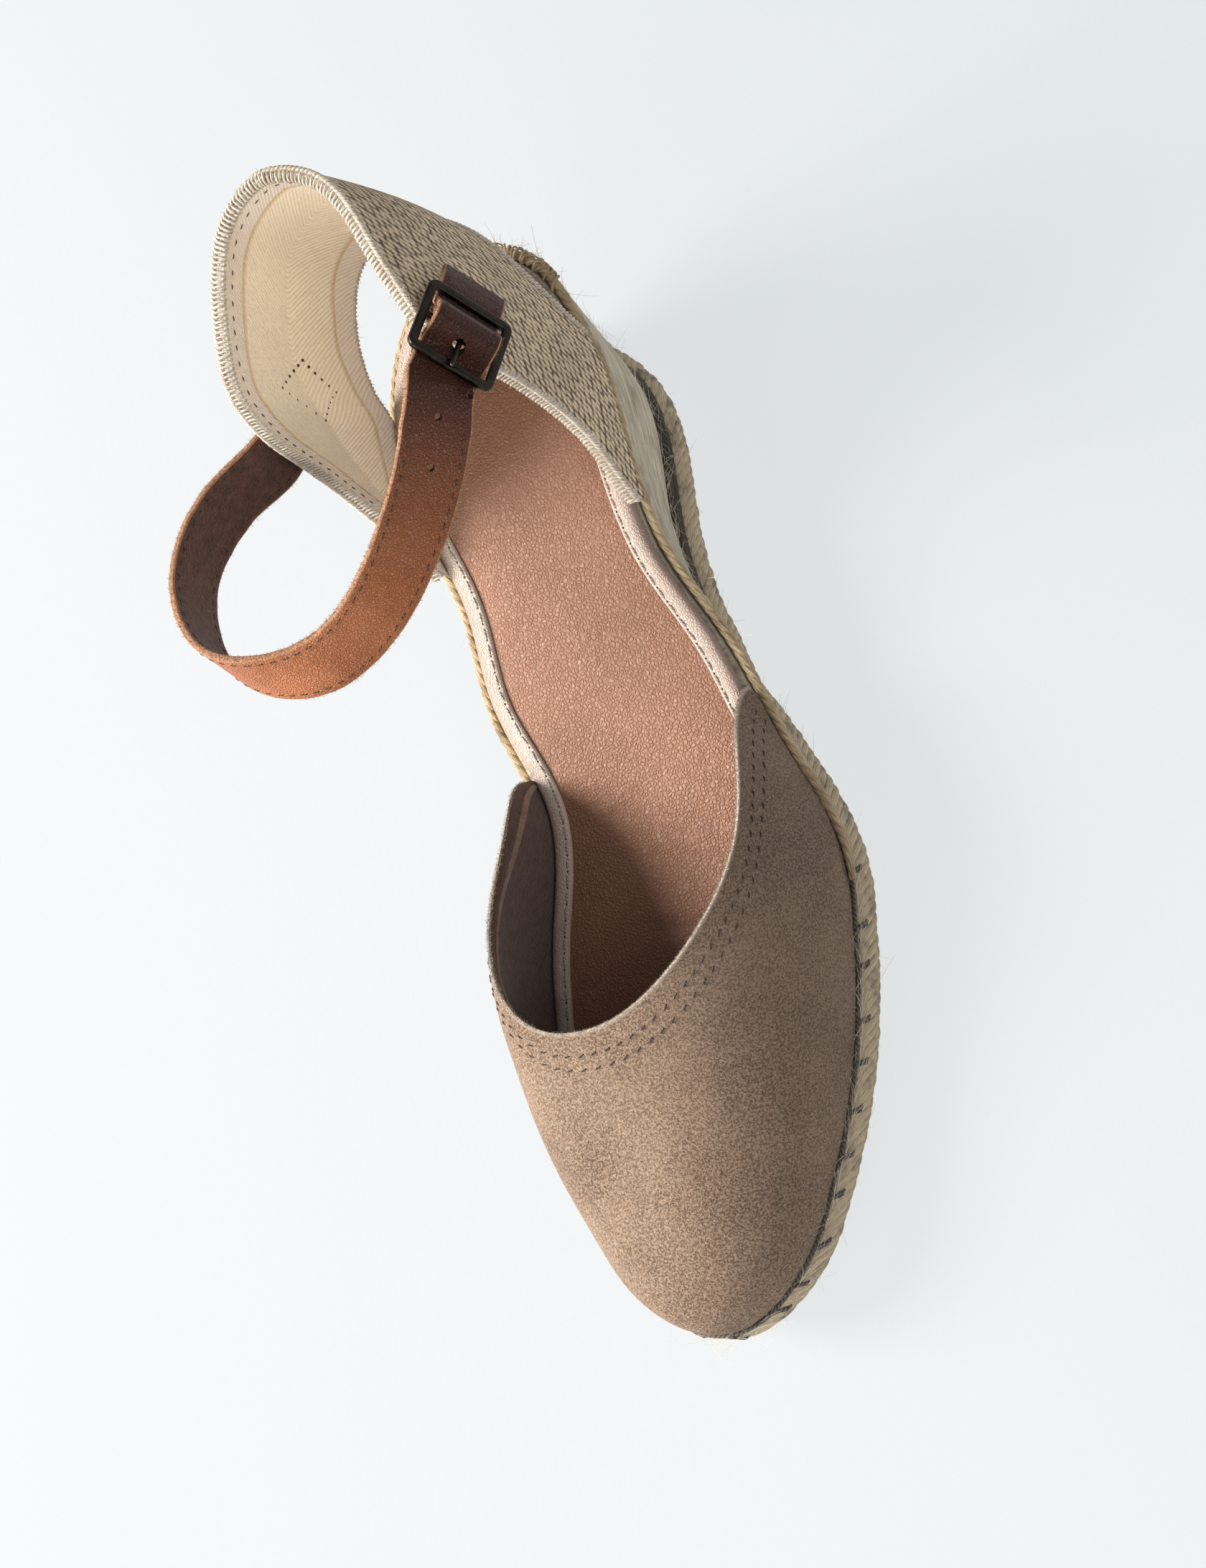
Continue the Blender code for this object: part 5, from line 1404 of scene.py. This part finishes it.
def vamp_grids(rows, columns):
    """Outer and inner grids of the vamp, from the foot to the throat."""
    edge = np.hstack([offset_outline(UPPER_CLEARANCE + UPPER_WALL), offset_outline(UPPER_CLEARANCE)])
    lateral = edge[:TOE_INDEX + 1]
    lateral = lateral[lateral[:, 1] >= VAMP_BACK[1] * LENGTH]
    medial = edge[TOE_INDEX + 1:]
    medial = medial[medial[:, 1] >= VAMP_BACK[0] * LENGTH]
    both = resample(np.vstack([lateral, medial]), rows, keys=2)
    foot = both[:, :2]
    across = np.sin(np.linspace(math.pi / 2, -math.pi / 2, 241)) * 0.9995
    throat = spline(THROAT_ROWS, 600, closed=False)
    throat_along = np.interp(across, throat[:, 0], throat[:, 1]) * LENGTH
    throat_x = vamp_plan(across, throat_along)
    throat = np.stack([throat_x, throat_along, vamp_height(throat_x, throat_along)], axis=1)
    throat = resample(throat, rows)[:, :2]
    share = np.linspace(0.0, 1.0, columns) ** 1.5
    plan = foot[:, None, :] + (throat - foot)[:, None, :] * share[None, :, None]
    z = vamp_height(plan[..., 0], plan[..., 1])
    z[:, 0] = support(foot[:, 1]) + GAP
    outer = np.stack([plan[..., 0], -plan[..., 1], z], axis=2)
    normal = vamp_normal(plan[..., 0], plan[..., 1])
    place = vamp_across(plan[..., 0], plan[..., 1])
    fade = smooth(0.0, 0.25, share)[None, :]
    for at, side, long_reach, wide_reach, depth, slant in VAMP_FOLDS:
        dx = (place - side) * 0.5 * BALL_WIDTH * TO_MM
        dy = (plan[..., 1] - at * LENGTH) * TO_MM + slant * dx
        fold = depth * MM * np.exp(-(dy / long_reach) ** 2 - (dx / wide_reach) ** 2) * fade
        outer = outer - normal * fold[..., None]
    wall = UPPER_WALL * (1.0 - 0.5 * smooth(0.93, 1.0, share))
    inner = outer - normal * wall[None, :, None]
    inner[:, 0, 0] = both[:, 2]
    inner[:, 0, 1] = -both[:, 3]
    inner[:, 0, 2] = outer[:, 0, 2]
    inner[:, 1:, 2] = np.maximum(inner[:, 1:, 2], inner[:, :1, 2] + 0.2 * MM)
    return outer, inner, normal


def back_lengths(grid):
    """Distances over the surface from the last column of a grid, with the columns turned about."""
    steps = np.linalg.norm(np.diff(grid[:, ::-1], axis=1), axis=2)
    return np.concatenate([np.zeros((len(grid), 1)), np.cumsum(steps, axis=1)], axis=1)


def from_throat(grid, distance):
    """The line that keeps a distance, over the surface, from the last column of a grid."""
    lengths = back_lengths(grid)
    return np.array([at_length(grid[i, ::-1], lengths[i], distance) for i in range(len(grid))])


def make_vamp():
    outer, inner, normal = vamp_grids(300, 64)
    rim = from_throat(outer, 0.0)
    u = path_lengths(rim) * TO_MM
    parts = Parts()

    def places(grid):
        v = back_lengths(grid)[:, ::-1]
        return np.stack([np.repeat(u[:, None], grid.shape[1], axis=1), v * TO_MM], axis=-1)

    parts.grid(outer, places(outer), 0)
    parts.grid(inner, places(inner), 1)
    every = slice(None)
    for line, slot in (((every, -1), 2), ((every, 0), 1), ((0, every), 2), ((-1, every), 2)):
        a = outer[line]
        b = inner[line]
        crown = 0.5 * (a + b)
        if slot == 2 and line[1] == -1:
            crown = crown + unit(outer[:, -1] - outer[:, -3]) * 0.35 * MM
        strip = np.stack([a, crown, b], axis=1)
        parts.grid(strip, surface_places(strip), slot)
    # The suede's dark colour is also the painted shade over the outer side of the foot.
    suede = suede_look("suede", (0.68, 0.475, 0.335), (0.085, 0.046, 0.027), (0.15, 0.75, (0.58, 0.46, 0.35)))
    lining = flesh_look("vamp_lining", (0.13, 0.068, 0.045), (0.055, 0.025, 0.017))
    raw = Look("raw_edge", roughness=1.0, sheen_weight=0.3)
    fibre = raw.noise(2300.0, 3.0, 0.7)
    colour = raw.mix(raw.ramp(fibre, 0.35, 0.6), (0.36, 0.27, 0.19), (0.80, 0.71, 0.58))
    colour = raw.mix(raw.ramp(raw.v, 0.45, 0.85), colour, (0.20, 0.125, 0.085))
    raw.finish(colour, fibre, 0.0009)
    keep(parts.build("suede_vamp", suede, lining, raw.material), "suede", "vamp")
    fuzz = Parts()
    fluff(fuzz, from_throat(outer, 0.1 * MM), unit(outer[:, -1] - outer[:, -3]), normal[:, -1], 5200, 8,
          0.85 * MM,
          0.5 * UPPER_WALL)
    keep(fuzz.build("throat_fuzz", raw.material, tidy=False), "suede")
    dark = Parts()
    for distance, pitch, seed in ((5.2 * MM, 3.3 * MM, 4), (8.6 * MM, 3.5 * MM, 5)):
        line = from_throat(outer, distance)
        keep_rows = slice(6, -6)
        facing = unit(np.array([at_length(normal[i][::-1], path_lengths(outer[i][::-1]), distance)
                                for i in range(len(outer))]))
        stitches(dark, line[keep_rows], facing[keep_rows], pitch, 1.4 * MM, 0.19 * MM, 0.02 * MM, 0, 0.35,
                 seed)
    finish = thread_look("taupe_thread", (0.060, 0.036, 0.026), (0.022, 0.014, 0.010))
    keep(dark.build("vamp_stitches", finish), "suede")
    facing_strip = Parts()
    line = [from_throat(inner, d) for d in (3.2 * MM, 5.4 * MM)]
    inward = -normal[:, -1]
    strip = np.stack([line[0] + inward * 0.12 * MM, line[0] + inward * 0.5 * MM,
                      line[1] + inward * 0.5 * MM, line[1] + inward * 0.12 * MM], axis=1)
    facing_strip.grid(strip[4:-4])
    tape = flesh_look("facing_strip", (0.34, 0.22, 0.16), (0.17, 0.10, 0.07))
    keep(facing_strip.build("throat_facing", tape), "suede")


# Canvas heel band

def make_band():
    rows = 380
    columns = 48
    at = np.sin(np.linspace(-1.0, 1.0, rows) * 1.25) / math.sin(1.25)
    up = np.linspace(0.0, 1.0, columns)
    outer = band_point(at[:, None], up[None, :])
    ripple = 0.25 * MM * np.sin(at[:, None] * 21.0 + 1.3) * np.sin(up[None, :] * math.pi)
    normal = band_normal(at[:, None], up[None, :])
    outer = outer + normal * ripple[..., None]
    inner = outer - normal * BAND_WALL
    inner[:, 0, 2] = outer[:, 0, 2]
    arc_low = monotone(BAND_ROWS, np.abs(at), BAND_COLUMNS.index("arc_low"))[:, None]
    arc_top = monotone(BAND_ROWS, np.abs(at), BAND_COLUMNS.index("arc_top"))[:, None]
    arc = np.sign(at)[:, None] * LENGTH * (arc_low * (1.0 - up) + arc_top * up)
    from_top = back_lengths(outer)[:, ::-1]
    to_edge = np.minimum(from_top, from_top[:, :1] - from_top)
    parts = Parts()
    parts.grid(outer, np.stack([arc, outer[..., 2]], axis=-1) * TO_MM, 0)
    parts.grid(inner, np.stack([arc, to_edge], axis=-1) * TO_MM, 1)
    for line in ((slice(None), -1), (slice(None), 0), (0, slice(None)), (-1, slice(None))):
        strip = np.stack([outer[line], inner[line]], axis=1)
        parts.grid(strip, surface_places(strip), 2)
    canvas = canvas_look("canvas", (0.90, 0.69, 0.46), (0.095, 0.056, 0.033))
    lining = lining_look("band_lining", (0.97, 0.86, 0.66), (0.86, 0.77, 0.67), (0.66, 0.44, 0.20))
    edge = plain_look("band_edge", 1500.0, (0.40, 0.33, 0.26), (0.82, 0.77, 0.68), 3.0, 0.7, (0.35, 0.65),
                      0.0008, roughness=1.0)
    keep(parts.build("canvas_band", canvas, lining, edge), "canvas", "heel_band")
    edge_band(at, outer, inner, normal)
    sew_band(inner, normal)


def bind(whip, random, outer_line, inner_line, outward_out, into, pitch, reach, fibres):
    """Whip stitches over an edge, from the outside to the inside."""
    lengths = path_lengths(outer_line)
    for where in np.arange(0.3 * pitch, lengths[-1], pitch):
        a = at_length(outer_line, lengths, where)
        b = at_length(inner_line, lengths, where)
        out = unit(at_length(outward_out, lengths, where))
        down = unit(at_length(into, lengths, where))
        run = unit(at_length(outer_line, lengths, min(where + 0.5 * MM, lengths[-1])) - a + 1e-9)
        deep = reach * random.uniform(0.8, 1.15)
        lean = random.uniform(0.5, 1.4) * pitch
        lift = 0.26 * MM
        points = [a + down * deep + out * 0.05 * MM - run * lean,
                  a + down * deep * 0.55 + out * lift - run * lean * 0.6,
                  a + down * 0.1 * MM + out * lift - run * lean * 0.2, 0.5 * (a + b) - down * 0.5 * MM,
                  b + down * 0.1 * MM - out * lift * 0.6 + run * lean * 0.2,
                  b + down * deep * 0.5 - out * 0.05 * MM + run * lean * 0.5]
        whip.tube(spline(points, 10, closed=False), random.uniform(0.19, 0.30) * MM, 5)
        for _ in range(fibres):
            start = 0.5 * (a + b) - down * random.uniform(-1.2, 0.6) * MM
            start = start + out * random.uniform(-1.2, 1.4) * MM
            aim = unit(random.normal(0.0, 0.6, 3) - 0.5 * down + random.choice([-0.6, 1.0]) * out)
            t = np.linspace(0.0, 1.0, 3)[:, None]
            whip.tube(start + aim * t * random.uniform(0.4, 1.3) * MM, 0.045 * MM, 3, caps=False)


def chain(whip, line, facing):
    """Two plies twisted along the edge, under the whip stitches."""
    lengths = path_lengths(line)
    where = np.arange(0.0, lengths[-1], 0.2 * MM)
    path = at_length(line, lengths, where)
    turned = unit(at_length(facing, lengths, where))
    for phase in (0.0, math.pi):
        whip.tube(twist(path, turned, 0.40 * MM, 2.1 * MM, phase), 0.42 * MM, 6)


def edge_band(at, outer, inner, normal):
    """Whipped and twisted thread along the band's upper edge and its free lower one."""
    whip = Parts()
    random = np.random.default_rng(17)
    down = unit(outer[:, -2] - outer[:, -1])
    chain(whip, outer[:, -1] + down * 0.3 * MM + normal[:, -1] * 0.05 * MM, normal[:, -1])
    bind(whip, random, outer[:, -1], inner[:, -1], normal[:, -1], down, 1.05 * MM, 1.5 * MM, 8)
    free = np.abs(at) < 0.80
    chain(whip, outer[free, 0], normal[free, 0])
    bind(whip, random, outer[free, 0], inner[free, 0], normal[free, 0], unit(outer[free, 1] - outer[free, 0]),
         1.05 * MM, 1.2 * MM, 7)
    light = Look("edge_thread", roughness=0.95, sheen_weight=0.25)
    fibre = light.noise(1.0, 3.0, 0.65, light.vector(0.5, 2.5))
    tone = light.noise(110.0, 3.0, 0.6)
    colour = light.mix(light.ramp(fibre, 0.35, 0.65), (0.38, 0.30, 0.22), (0.80, 0.72, 0.60))
    colour = light.mix(light.ramp(tone, 0.5, 0.72, 0.0, 0.6), colour, (0.38, 0.29, 0.20))
    light.finish(colour, fibre, 0.0004)
    keep(whip.build("band_edging", light.material), "canvas")


def sew_band(inner, normal):
    """Brown seam inside the collar and the needle holes of the strap's seam."""
    brown = Parts()
    spots = from_throat(inner, 3.4 * MM)
    inward = -normal[:, -1]
    stitches(brown, spots[20:-8], inward[20:-8], 3.2 * MM, 1.25 * MM, 0.17 * MM, -0.03 * MM, 0, 0.1, 6)
    finish = thread_look("brown_thread", (0.16, 0.095, 0.055), (0.05, 0.03, 0.02))
    keep(brown.build("band_stitches", finish), "canvas")
    dots = Parts()
    for place_at, place_up in diamond_places():
        centre = band_point(place_at, place_up) - band_normal(place_at, place_up) * (BAND_WALL + 0.02 * MM)
        lay = unit(band_point(place_at + 0.01, place_up) - band_point(place_at, place_up))
        dots.tube(np.array([centre - lay * 0.22 * MM, centre + lay * 0.22 * MM]), 0.3 * MM, 7)
    ink = plain_look("stitch_ends", 900.0, (0.035, 0.015, 0.012), (0.09, 0.04, 0.03), roughness=0.9)
    keep(dots.build("seam_holes", ink), "canvas")


def diamond_places():
    """Needle holes of the strap's seam, as places on the band."""
    corners = ((-0.700, 0.66), (-0.790, 0.50), (-0.715, 0.28), (-0.610, 0.44))
    places = []
    for a, b in zip(corners, corners[1:] + corners[:1]):
        for t in np.linspace(0.0, 1.0, 6)[:-1]:
            places.append((a[0] + (b[0] - a[0]) * t, a[1] + (b[1] - a[1]) * t))
    return places


# Strap and buckle

def rounded_section(width, thickness, corner, steps=3):
    """Rounded rectangle as (across, out) pairs, with the corners' arcs."""
    points = []
    for cx, cy, start in ((1, 1, 0.0), (-1, 1, 0.5), (-1, -1, 1.0), (1, -1, 1.5)):
        for k in range(steps + 1):
            turn = math.pi * (start + 0.5 * k / steps)
            points.append((cx * (width / 2.0 - corner) + corner * math.cos(turn),
                           cy * (thickness / 2.0 - corner) + corner * math.sin(turn)))
    return points


def ribbon_frame(path, widths):
    tangent = unit(np.gradient(path, axis=0))
    across = unit(widths - tangent * np.sum(widths * tangent, axis=1, keepdims=True))
    face = unit(np.cross(tangent, across))
    return tangent, across, face


def ribbon_piece(name, path, widths, width, thickness, finishes, corner=0.45 * MM, uneven=0.0, seed=0):
    """Leather strip: finish 0 on its outer face, 1 on its inner face, 2 on its cut edges."""
    random = np.random.default_rng(seed)
    _, across, face = ribbon_frame(path, widths)
    lengths = path_lengths(path)
    inside = np.linspace(-0.5, 0.5, 15)[1:-1] * (width - 2.0 * corner)
    section = rounded_section(width, thickness, corner)
    quarter = len(section) // 4
    top = [(x, thickness / 2.0) for x in inside[::-1]]
    bottom = [(x, -thickness / 2.0) for x in inside]
    order = section[:quarter] + top + section[quarter:2 * quarter] + section[2 * quarter:3 * quarter]
    order = order + bottom + section[3 * quarter:]
    wave = np.interp(lengths, np.linspace(0.0, lengths[-1], 60), random.normal(0.0, uneven, 60))
    points = []
    for out, lift in order:
        reach = out + np.sign(out) * wave * (abs(out) / (width / 2.0)) ** 4
        points.append(path + across * reach[:, None] + face * lift)
    points = np.array(points).transpose(1, 0, 2)
    outs = np.array([o for o, _ in order])
    places = np.stack([np.repeat(lengths[:, None], len(order), axis=1),
                       np.repeat(outs[None, :], len(path), axis=0)], axis=-1) * TO_MM
    parts = Parts()
    first = quarter - 1
    turn = first + len(top) + 1
    start = turn + 2 * quarter - 1
    bands = ((first, turn, 0), (turn, start, 2))
    bands += ((start, start + len(bottom) + 1, 1),)
    for low, high, slot in bands:
        parts.grid(points[:, low:high + 1], places[:, low:high + 1], slot)
    rest = list(range(bands[2][1], len(order))) + list(range(0, first + 1))
    parts.grid(points[:, rest], places[:, rest], 2)
    for end in (0, -1):
        ring_points = points[end]
        middle = np.repeat(ring_points.mean(axis=0)[None], len(order), axis=0)
        parts.grid(np.stack([ring_points, middle]), slot=2, wrap_columns=True)
    return parts.build(name, *finishes)


def strap_finishes(name, light, dark, raw, fade=None):
    # fade, when given, paints shade along the strip.
    grain = leather_look(name, light, dark, 1400.0, 0.42, 75.0, 0.00018, 0.06, fade)
    flesh = flesh_look(name + "_flesh", (0.14, 0.065, 0.045), (0.050, 0.022, 0.015))
    shade = tuple(0.5 * c for c in raw)
    edge = plain_look(name + "_edge", 1500.0, shade, raw, 3.0, 0.7, (0.35, 0.65), 0.0005, roughness=0.8)
    return grain, flesh, edge


def cut_round(item, centre, direction, radius, depth, finish):
    """Punches a round hole into a finished piece."""
    mesh = bpy.data.meshes.new("hole_cutter")
    work = bmesh.new()
    bmesh.ops.create_cone(work, cap_ends=True, segments=20, radius1=radius, radius2=radius, depth=depth)
    work.to_mesh(mesh)
    work.free()
    mesh.materials.append(finish)
    tool = bpy.data.objects.new("hole_cutter", mesh)
    turn = Vector(direction).to_track_quat("Z", "Y").to_matrix().to_4x4()
    tool.matrix_world = Matrix.Translation(Vector(centre + TO_ORIGIN)) @ turn
    bpy.context.scene.collection.objects.link(tool)
    cut = item.modifiers.new("hole", "BOOLEAN")
    cut.operation = "DIFFERENCE"
    cut.solver = "EXACT"
    cut.material_mode = "TRANSFER"
    cut.object = tool
    bpy.context.view_layer.update()
    graph = bpy.context.evaluated_depsgraph_get()
    shaped = bpy.data.meshes.new_from_object(item.evaluated_get(graph))
    item.modifiers.clear()
    item.data = shaped
    bpy.data.objects.remove(tool, do_unlink=True)


def make_strap():
    path, widths = strap_path(300)
    lengths = path_lengths(path)
    fine = np.linspace(0.0, lengths[-1], 520)
    path = at_length(path, lengths, fine)
    widths = unit(at_length(widths, lengths, fine))
    lengths = path_lengths(path)
    buckle_at = lengths[-1] * TO_MM - 28.0
    # The fade paints shade on the strap's last part before the buckle and through it.
    finishes = strap_finishes("strap_leather", (0.50, 0.185, 0.072), (0.26, 0.076, 0.026), (0.46, 0.23, 0.12),
                              fade=(buckle_at - 44.0, buckle_at + 2.0, (0.058, 0.014, 0.006)))
    _, across, face = ribbon_frame(path, widths)
    centre, line, _, outward = buckle_axes()
    if float(face[-1] @ outward) < 0.0:
        finishes = (finishes[1], finishes[0], finishes[2])
    item = ribbon_piece("ankle_strap_leather", path, widths, STRAP_WIDTH, STRAP_THICKNESS, finishes,
                        uneven=0.08 * MM, seed=9)
    # The hole walls are near black: painted shade inside the holes.
    hole_wall = plain_look("hole_wall", 700.0, (0.008, 0.005, 0.004), (0.035, 0.016, 0.010), roughness=1.0)
    at = centre + line * prong_crossing()
    start = lengths[int(np.argmin(np.linalg.norm(path - at, axis=1)))]
    for k in range(2):
        where = start - FIRST_HOLE - k * HOLE_SPACING
        i = int(np.argmin(np.abs(lengths - where)))
        cut_round(item, path[i], face[i], HOLE_RADIUS, 3.0 * MM, hole_wall)
    lift = PRONG_LEVEL * (BUCKLE_THICKNESS / 2.0 + GAP + PRONG_RADIUS)
    cut_round(item, at + outward * lift, line, PRONG_HOLE_RADIUS, 6.0 * MM, hole_wall)
    item.data.set_sharp_from_angle(angle=SHARP_ANGLE)
    keep(item, "strap_leather", "ankle_strap")
    threads = Parts()
    outside = face if float(face[-1] @ outward) > 0.0 else -face
    for side in (-1.0, 1.0):
        for facing in (1.0, -1.0):
            run = path + across * side * (STRAP_WIDTH / 2.0 - 1.7 * MM)
            run = run + outside * facing * STRAP_THICKNESS / 2.0
            stitches(threads, run[4:-4], facing * outside[4:-4], 3.1 * MM, 1.9 * MM, 0.15 * MM, -0.03 * MM, 0,
                     0.08, 7)
    fuzz = Parts()
    for side in (-1.0, 1.0):
        edge_line = path + across * side * (STRAP_WIDTH / 2.0 - 0.1 * MM) + face * STRAP_THICKNESS / 2.0
        fluff(fuzz, edge_line, across * side, face, 1700, 40 + int(side), 0.7 * MM, STRAP_THICKNESS,
              0.04 * MM)
    keep(fuzz.build("strap_fuzz", finishes[2], tidy=False), "strap_leather")
    finish = thread_look("strap_thread", (0.085, 0.040, 0.025), (0.025, 0.012, 0.010))
    keep(threads.build("strap_stitches", finish), "strap_leather")


def make_tab():
    """Leather strip under the buckle, its route repeated from the solid's."""
    centre, line, width, face = buckle_axes()
    half = BUCKLE_THICKNESS / 2.0
    under = strap_level()[0]
    seat = -(half + GAP + TAB_THICKNESS / 2.0)
    below_strap = under - STRAP_THICKNESS / 2.0 - GAP - TAB_THICKNESS / 2.0
    bar = BUCKLE_LENGTH / 2.0
    local = ((-1.0 * MM, seat), (1.2 * MM, seat - 0.1 * MM), (0.35 * bar, seat - 0.9 * MM),
             (0.7 * bar, below_strap - 0.5 * MM), (1.0 * bar, below_strap - 2.4 * MM))
    points = [centre + line * a + face * b for a, b in local]
    widths = [width] * len(points)
    lay = TAB_THICKNESS / 2.0 + 2.2 * SEAM_CLEARANCE
    for at, up in TAB_SEAM:
        normal = band_normal(at, up)
        points.append(band_point(at, up) + lay * normal)
        widths.append(unit(width - normal * float(width @ normal)))
    curve = spline(points, 60, closed=False)
    step = np.linspace(0.0, len(points) - 1.0, 60)
    blend = np.array([np.interp(step, np.arange(len(points)), np.array(widths)[:, c]) for c in range(3)]).T
    # The tab's very dark colours are painted shade: the tab lies in the buckle's shade.
    finishes = strap_finishes("tab_leather", (0.16, 0.055, 0.028), (0.07, 0.022, 0.012), (0.28, 0.14, 0.08))
    keep(ribbon_piece("buckle_tab_leather", curve, blend, TAB_WIDTH, TAB_THICKNESS, finishes, 0.3 * MM),
         "tab_leather", "buckle_tab")


def make_buckle():
    """Cast frame with a centre bar, and the pin over it."""
    centre, line, width, face = buckle_axes()
    bronze = metal_look("bronze_frame", (0.026, 0.020, 0.016), (0.17, 0.14, 0.11))

    def world(a, b, c):
        return centre + width * a + line * b + face * c

    half_wide = (BUCKLE_WIDTH - BUCKLE_BAR) / 2.0
    half_long = (BUCKLE_LENGTH - BUCKLE_BAR) / 2.0
    corner = 1.1 * MM
    route = []
    for cx, cy, start in ((1, 1, 0.0), (-1, 1, 0.5), (-1, -1, 1.0), (1, -1, 1.5)):
        for k in range(9):
            turn = math.pi * (start + 0.5 * k / 8)
            route.append((cx * (half_wide - corner) + corner * math.cos(turn),
                          cy * (half_long - corner) + corner * math.sin(turn),
                          math.cos(turn), math.sin(turn)))
    dense = []
    for here, there in zip(route, route[1:] + route[:1]):
        gap = math.dist(here[:2], there[:2])
        for k in range(max(1, int(gap / (0.8 * MM)))):
            t = k / max(1, int(gap / (0.8 * MM)))
            dense.append(tuple(h + (g - h) * t for h, g in zip(here, there)))
    section = rounded_section(BUCKLE_BAR, BUCKLE_THICKNESS, 0.38 * MM, 4)
    sections = []
    for a, b, na, nb in dense:
        size = math.hypot(na, nb)
        notch = 0.0
        if b < -half_long * 0.9 and abs(a) < 1.4 * MM:
            notch = 0.22 * MM * (1.0 - (a / (1.4 * MM)) ** 2)
        sections.append([world(a + na / size * o, b + nb / size * o, c - (notch if c > 0 else 0.0))
                         for o, c in section])
    parts = Parts()
    parts.grid(np.array(sections), wrap_rows=True, wrap_columns=True)
    bar_section = rounded_section(BUCKLE_CENTRE_BAR, BUCKLE_THICKNESS, 0.5 * MM, 4)
    reach = half_wide - 0.2 * MM
    bar = [[world(a, o, c) for o, c in bar_section] for a in np.linspace(-reach, reach, 24)]
    parts.grid(np.array(bar), wrap_columns=True)
    keep(parts.build("bronze_buckle", bronze), "bronze_frame", "buckle_frame")
    lift = BUCKLE_THICKNESS / 2.0 + GAP + PRONG_RADIUS
    bar_at = BUCKLE_LENGTH / 2.0 - BUCKLE_BAR / 2.0
    route = ((0.9 * BUCKLE_CENTRE_BAR, 0.55 * lift), (0.5 * BUCKLE_CENTRE_BAR, 0.95 * lift), (0.0, lift),
             (-0.2 * bar_at, 0.95 * lift), (-0.5 * bar_at, PRONG_LEVEL * lift), (-0.75 * bar_at, 0.95 * lift),
             (-bar_at, lift), (-bar_at - 0.55 * BUCKLE_BAR, 0.92 * lift))
    curve = spline([centre + line * a + face * b for a, b in route], 48, closed=False)
    taper = np.interp(np.linspace(0.0, 1.0, 48), [0.0, 0.06, 0.8, 0.95, 1.0], [0.7, 1.0, 1.0, 0.85, 0.6])
    pin = Parts()
    pin.tube(curve, PRONG_RADIUS * taper, 14)
    keep(pin.build("bronze_pin", metal_look("bronze_prong", (0.035, 0.027, 0.021), (0.20, 0.165, 0.13))),
         "bronze_prong", "buckle_prong")


# Floor, lights and camera

VIEW_TARGET = (0.0, -0.094, 0.030)
VIEW_BACK = (0.460, -0.206, 0.864)
VIEW_RIGHT = (0.8415, -0.2110, -0.4983)
VIEW_DISTANCE = 0.55945
VIEW_LENS = 56.35
VIEW_SHIFT = (-0.0046, -0.0032)


def make_floor():
    parts = Parts()
    steps = np.linspace(-2.4, 2.4, 9)
    x, y = np.meshgrid(steps, steps, indexing="ij")
    parts.grid(np.stack([x, y, 0.0 * x], axis=-1))
    # The floor is nearly black and glows: painted light that keeps it bright and its shadows faint.
    look = Look("pale_floor", roughness=0.8, specular_ior_level=0.1, emission_strength=0.76)
    grain = look.noise(420.0, 3.0, 0.6)
    place = look.add("ShaderNodeSeparateXYZ", {0: look.point})
    # Painted falloff: the glow dims towards +X and +Y.
    painted_falloff = look.ramp(look.weigh((place.outputs[0], 1.0), (place.outputs[1], 0.6)), -0.12, 0.24)
    glow = look.mix(painted_falloff, (0.955, 0.985, 1.0), (0.83, 0.885, 0.91))
    look.tree.links.new(glow, look.shader.inputs["Emission Color"])
    look.finish(look.mix(grain, (0.068, 0.070, 0.071), (0.074, 0.076, 0.077)), grain, 0.0001)
    parts.build("floor", look.material)


def area_light(name, place, aim, size, power, colour):
    data = bpy.data.lights.new(name, "AREA")
    data.shape = "DISK"
    data.size = size
    data.energy = power
    data.color = colour
    item = bpy.data.objects.new(name, data)
    item.location = place
    item.rotation_euler = (Vector(aim) - Vector(place)).to_track_quat("-Z", "Y").to_euler()
    bpy.context.scene.collection.objects.link(item)


def make_lights():
    world = bpy.data.worlds.new("studio")
    world.use_nodes = True
    world.node_tree.nodes["Background"].inputs[0].default_value = (0.94, 0.97, 1.0, 1.0)
    world.node_tree.nodes["Background"].inputs[1].default_value = 0.25
    bpy.context.scene.world = world
    middle = (0.0, -0.09, 0.03)
    area_light("window", (-1.30, 0.12, 1.16), middle, 0.9, 74.0, (1.0, 0.965, 0.92))
    area_light("front", (-0.75, -1.25, 0.75), (0.0, -0.12, 0.03), 0.9, 16.0, (1.0, 0.98, 0.96))
    area_light("fill", (1.3, -0.5, 1.1), middle, 1.4, 9.0, (1.0, 0.97, 0.94))
    bpy.context.scene.view_settings.view_transform = "Standard"


def make_camera():
    data = bpy.data.cameras.new("view")
    data.lens = VIEW_LENS
    data.sensor_width = 36.0
    data.shift_x, data.shift_y = VIEW_SHIFT
    data.clip_start = 0.01
    back = Vector(VIEW_BACK).normalized()
    right = Vector(VIEW_RIGHT)
    right = (right - back * right.dot(back)).normalized()
    up = back.cross(right)
    turn = Matrix((right, up, back)).transposed().to_4x4()
    item = bpy.data.objects.new("view", data)
    item.matrix_world = Matrix.Translation(Vector(VIEW_TARGET) + back * VIEW_DISTANCE) @ turn
    bpy.context.scene.collection.objects.link(item)
    bpy.context.scene.camera = item


make_camera()
make_outsole()
make_wedge()
make_cord()
make_heel_wrap()
make_sole_threads()
make_strays()
make_insole()
make_binding()
make_vamp()
make_band()
make_strap()
make_tab()
make_buckle()
make_floor()
make_lights()
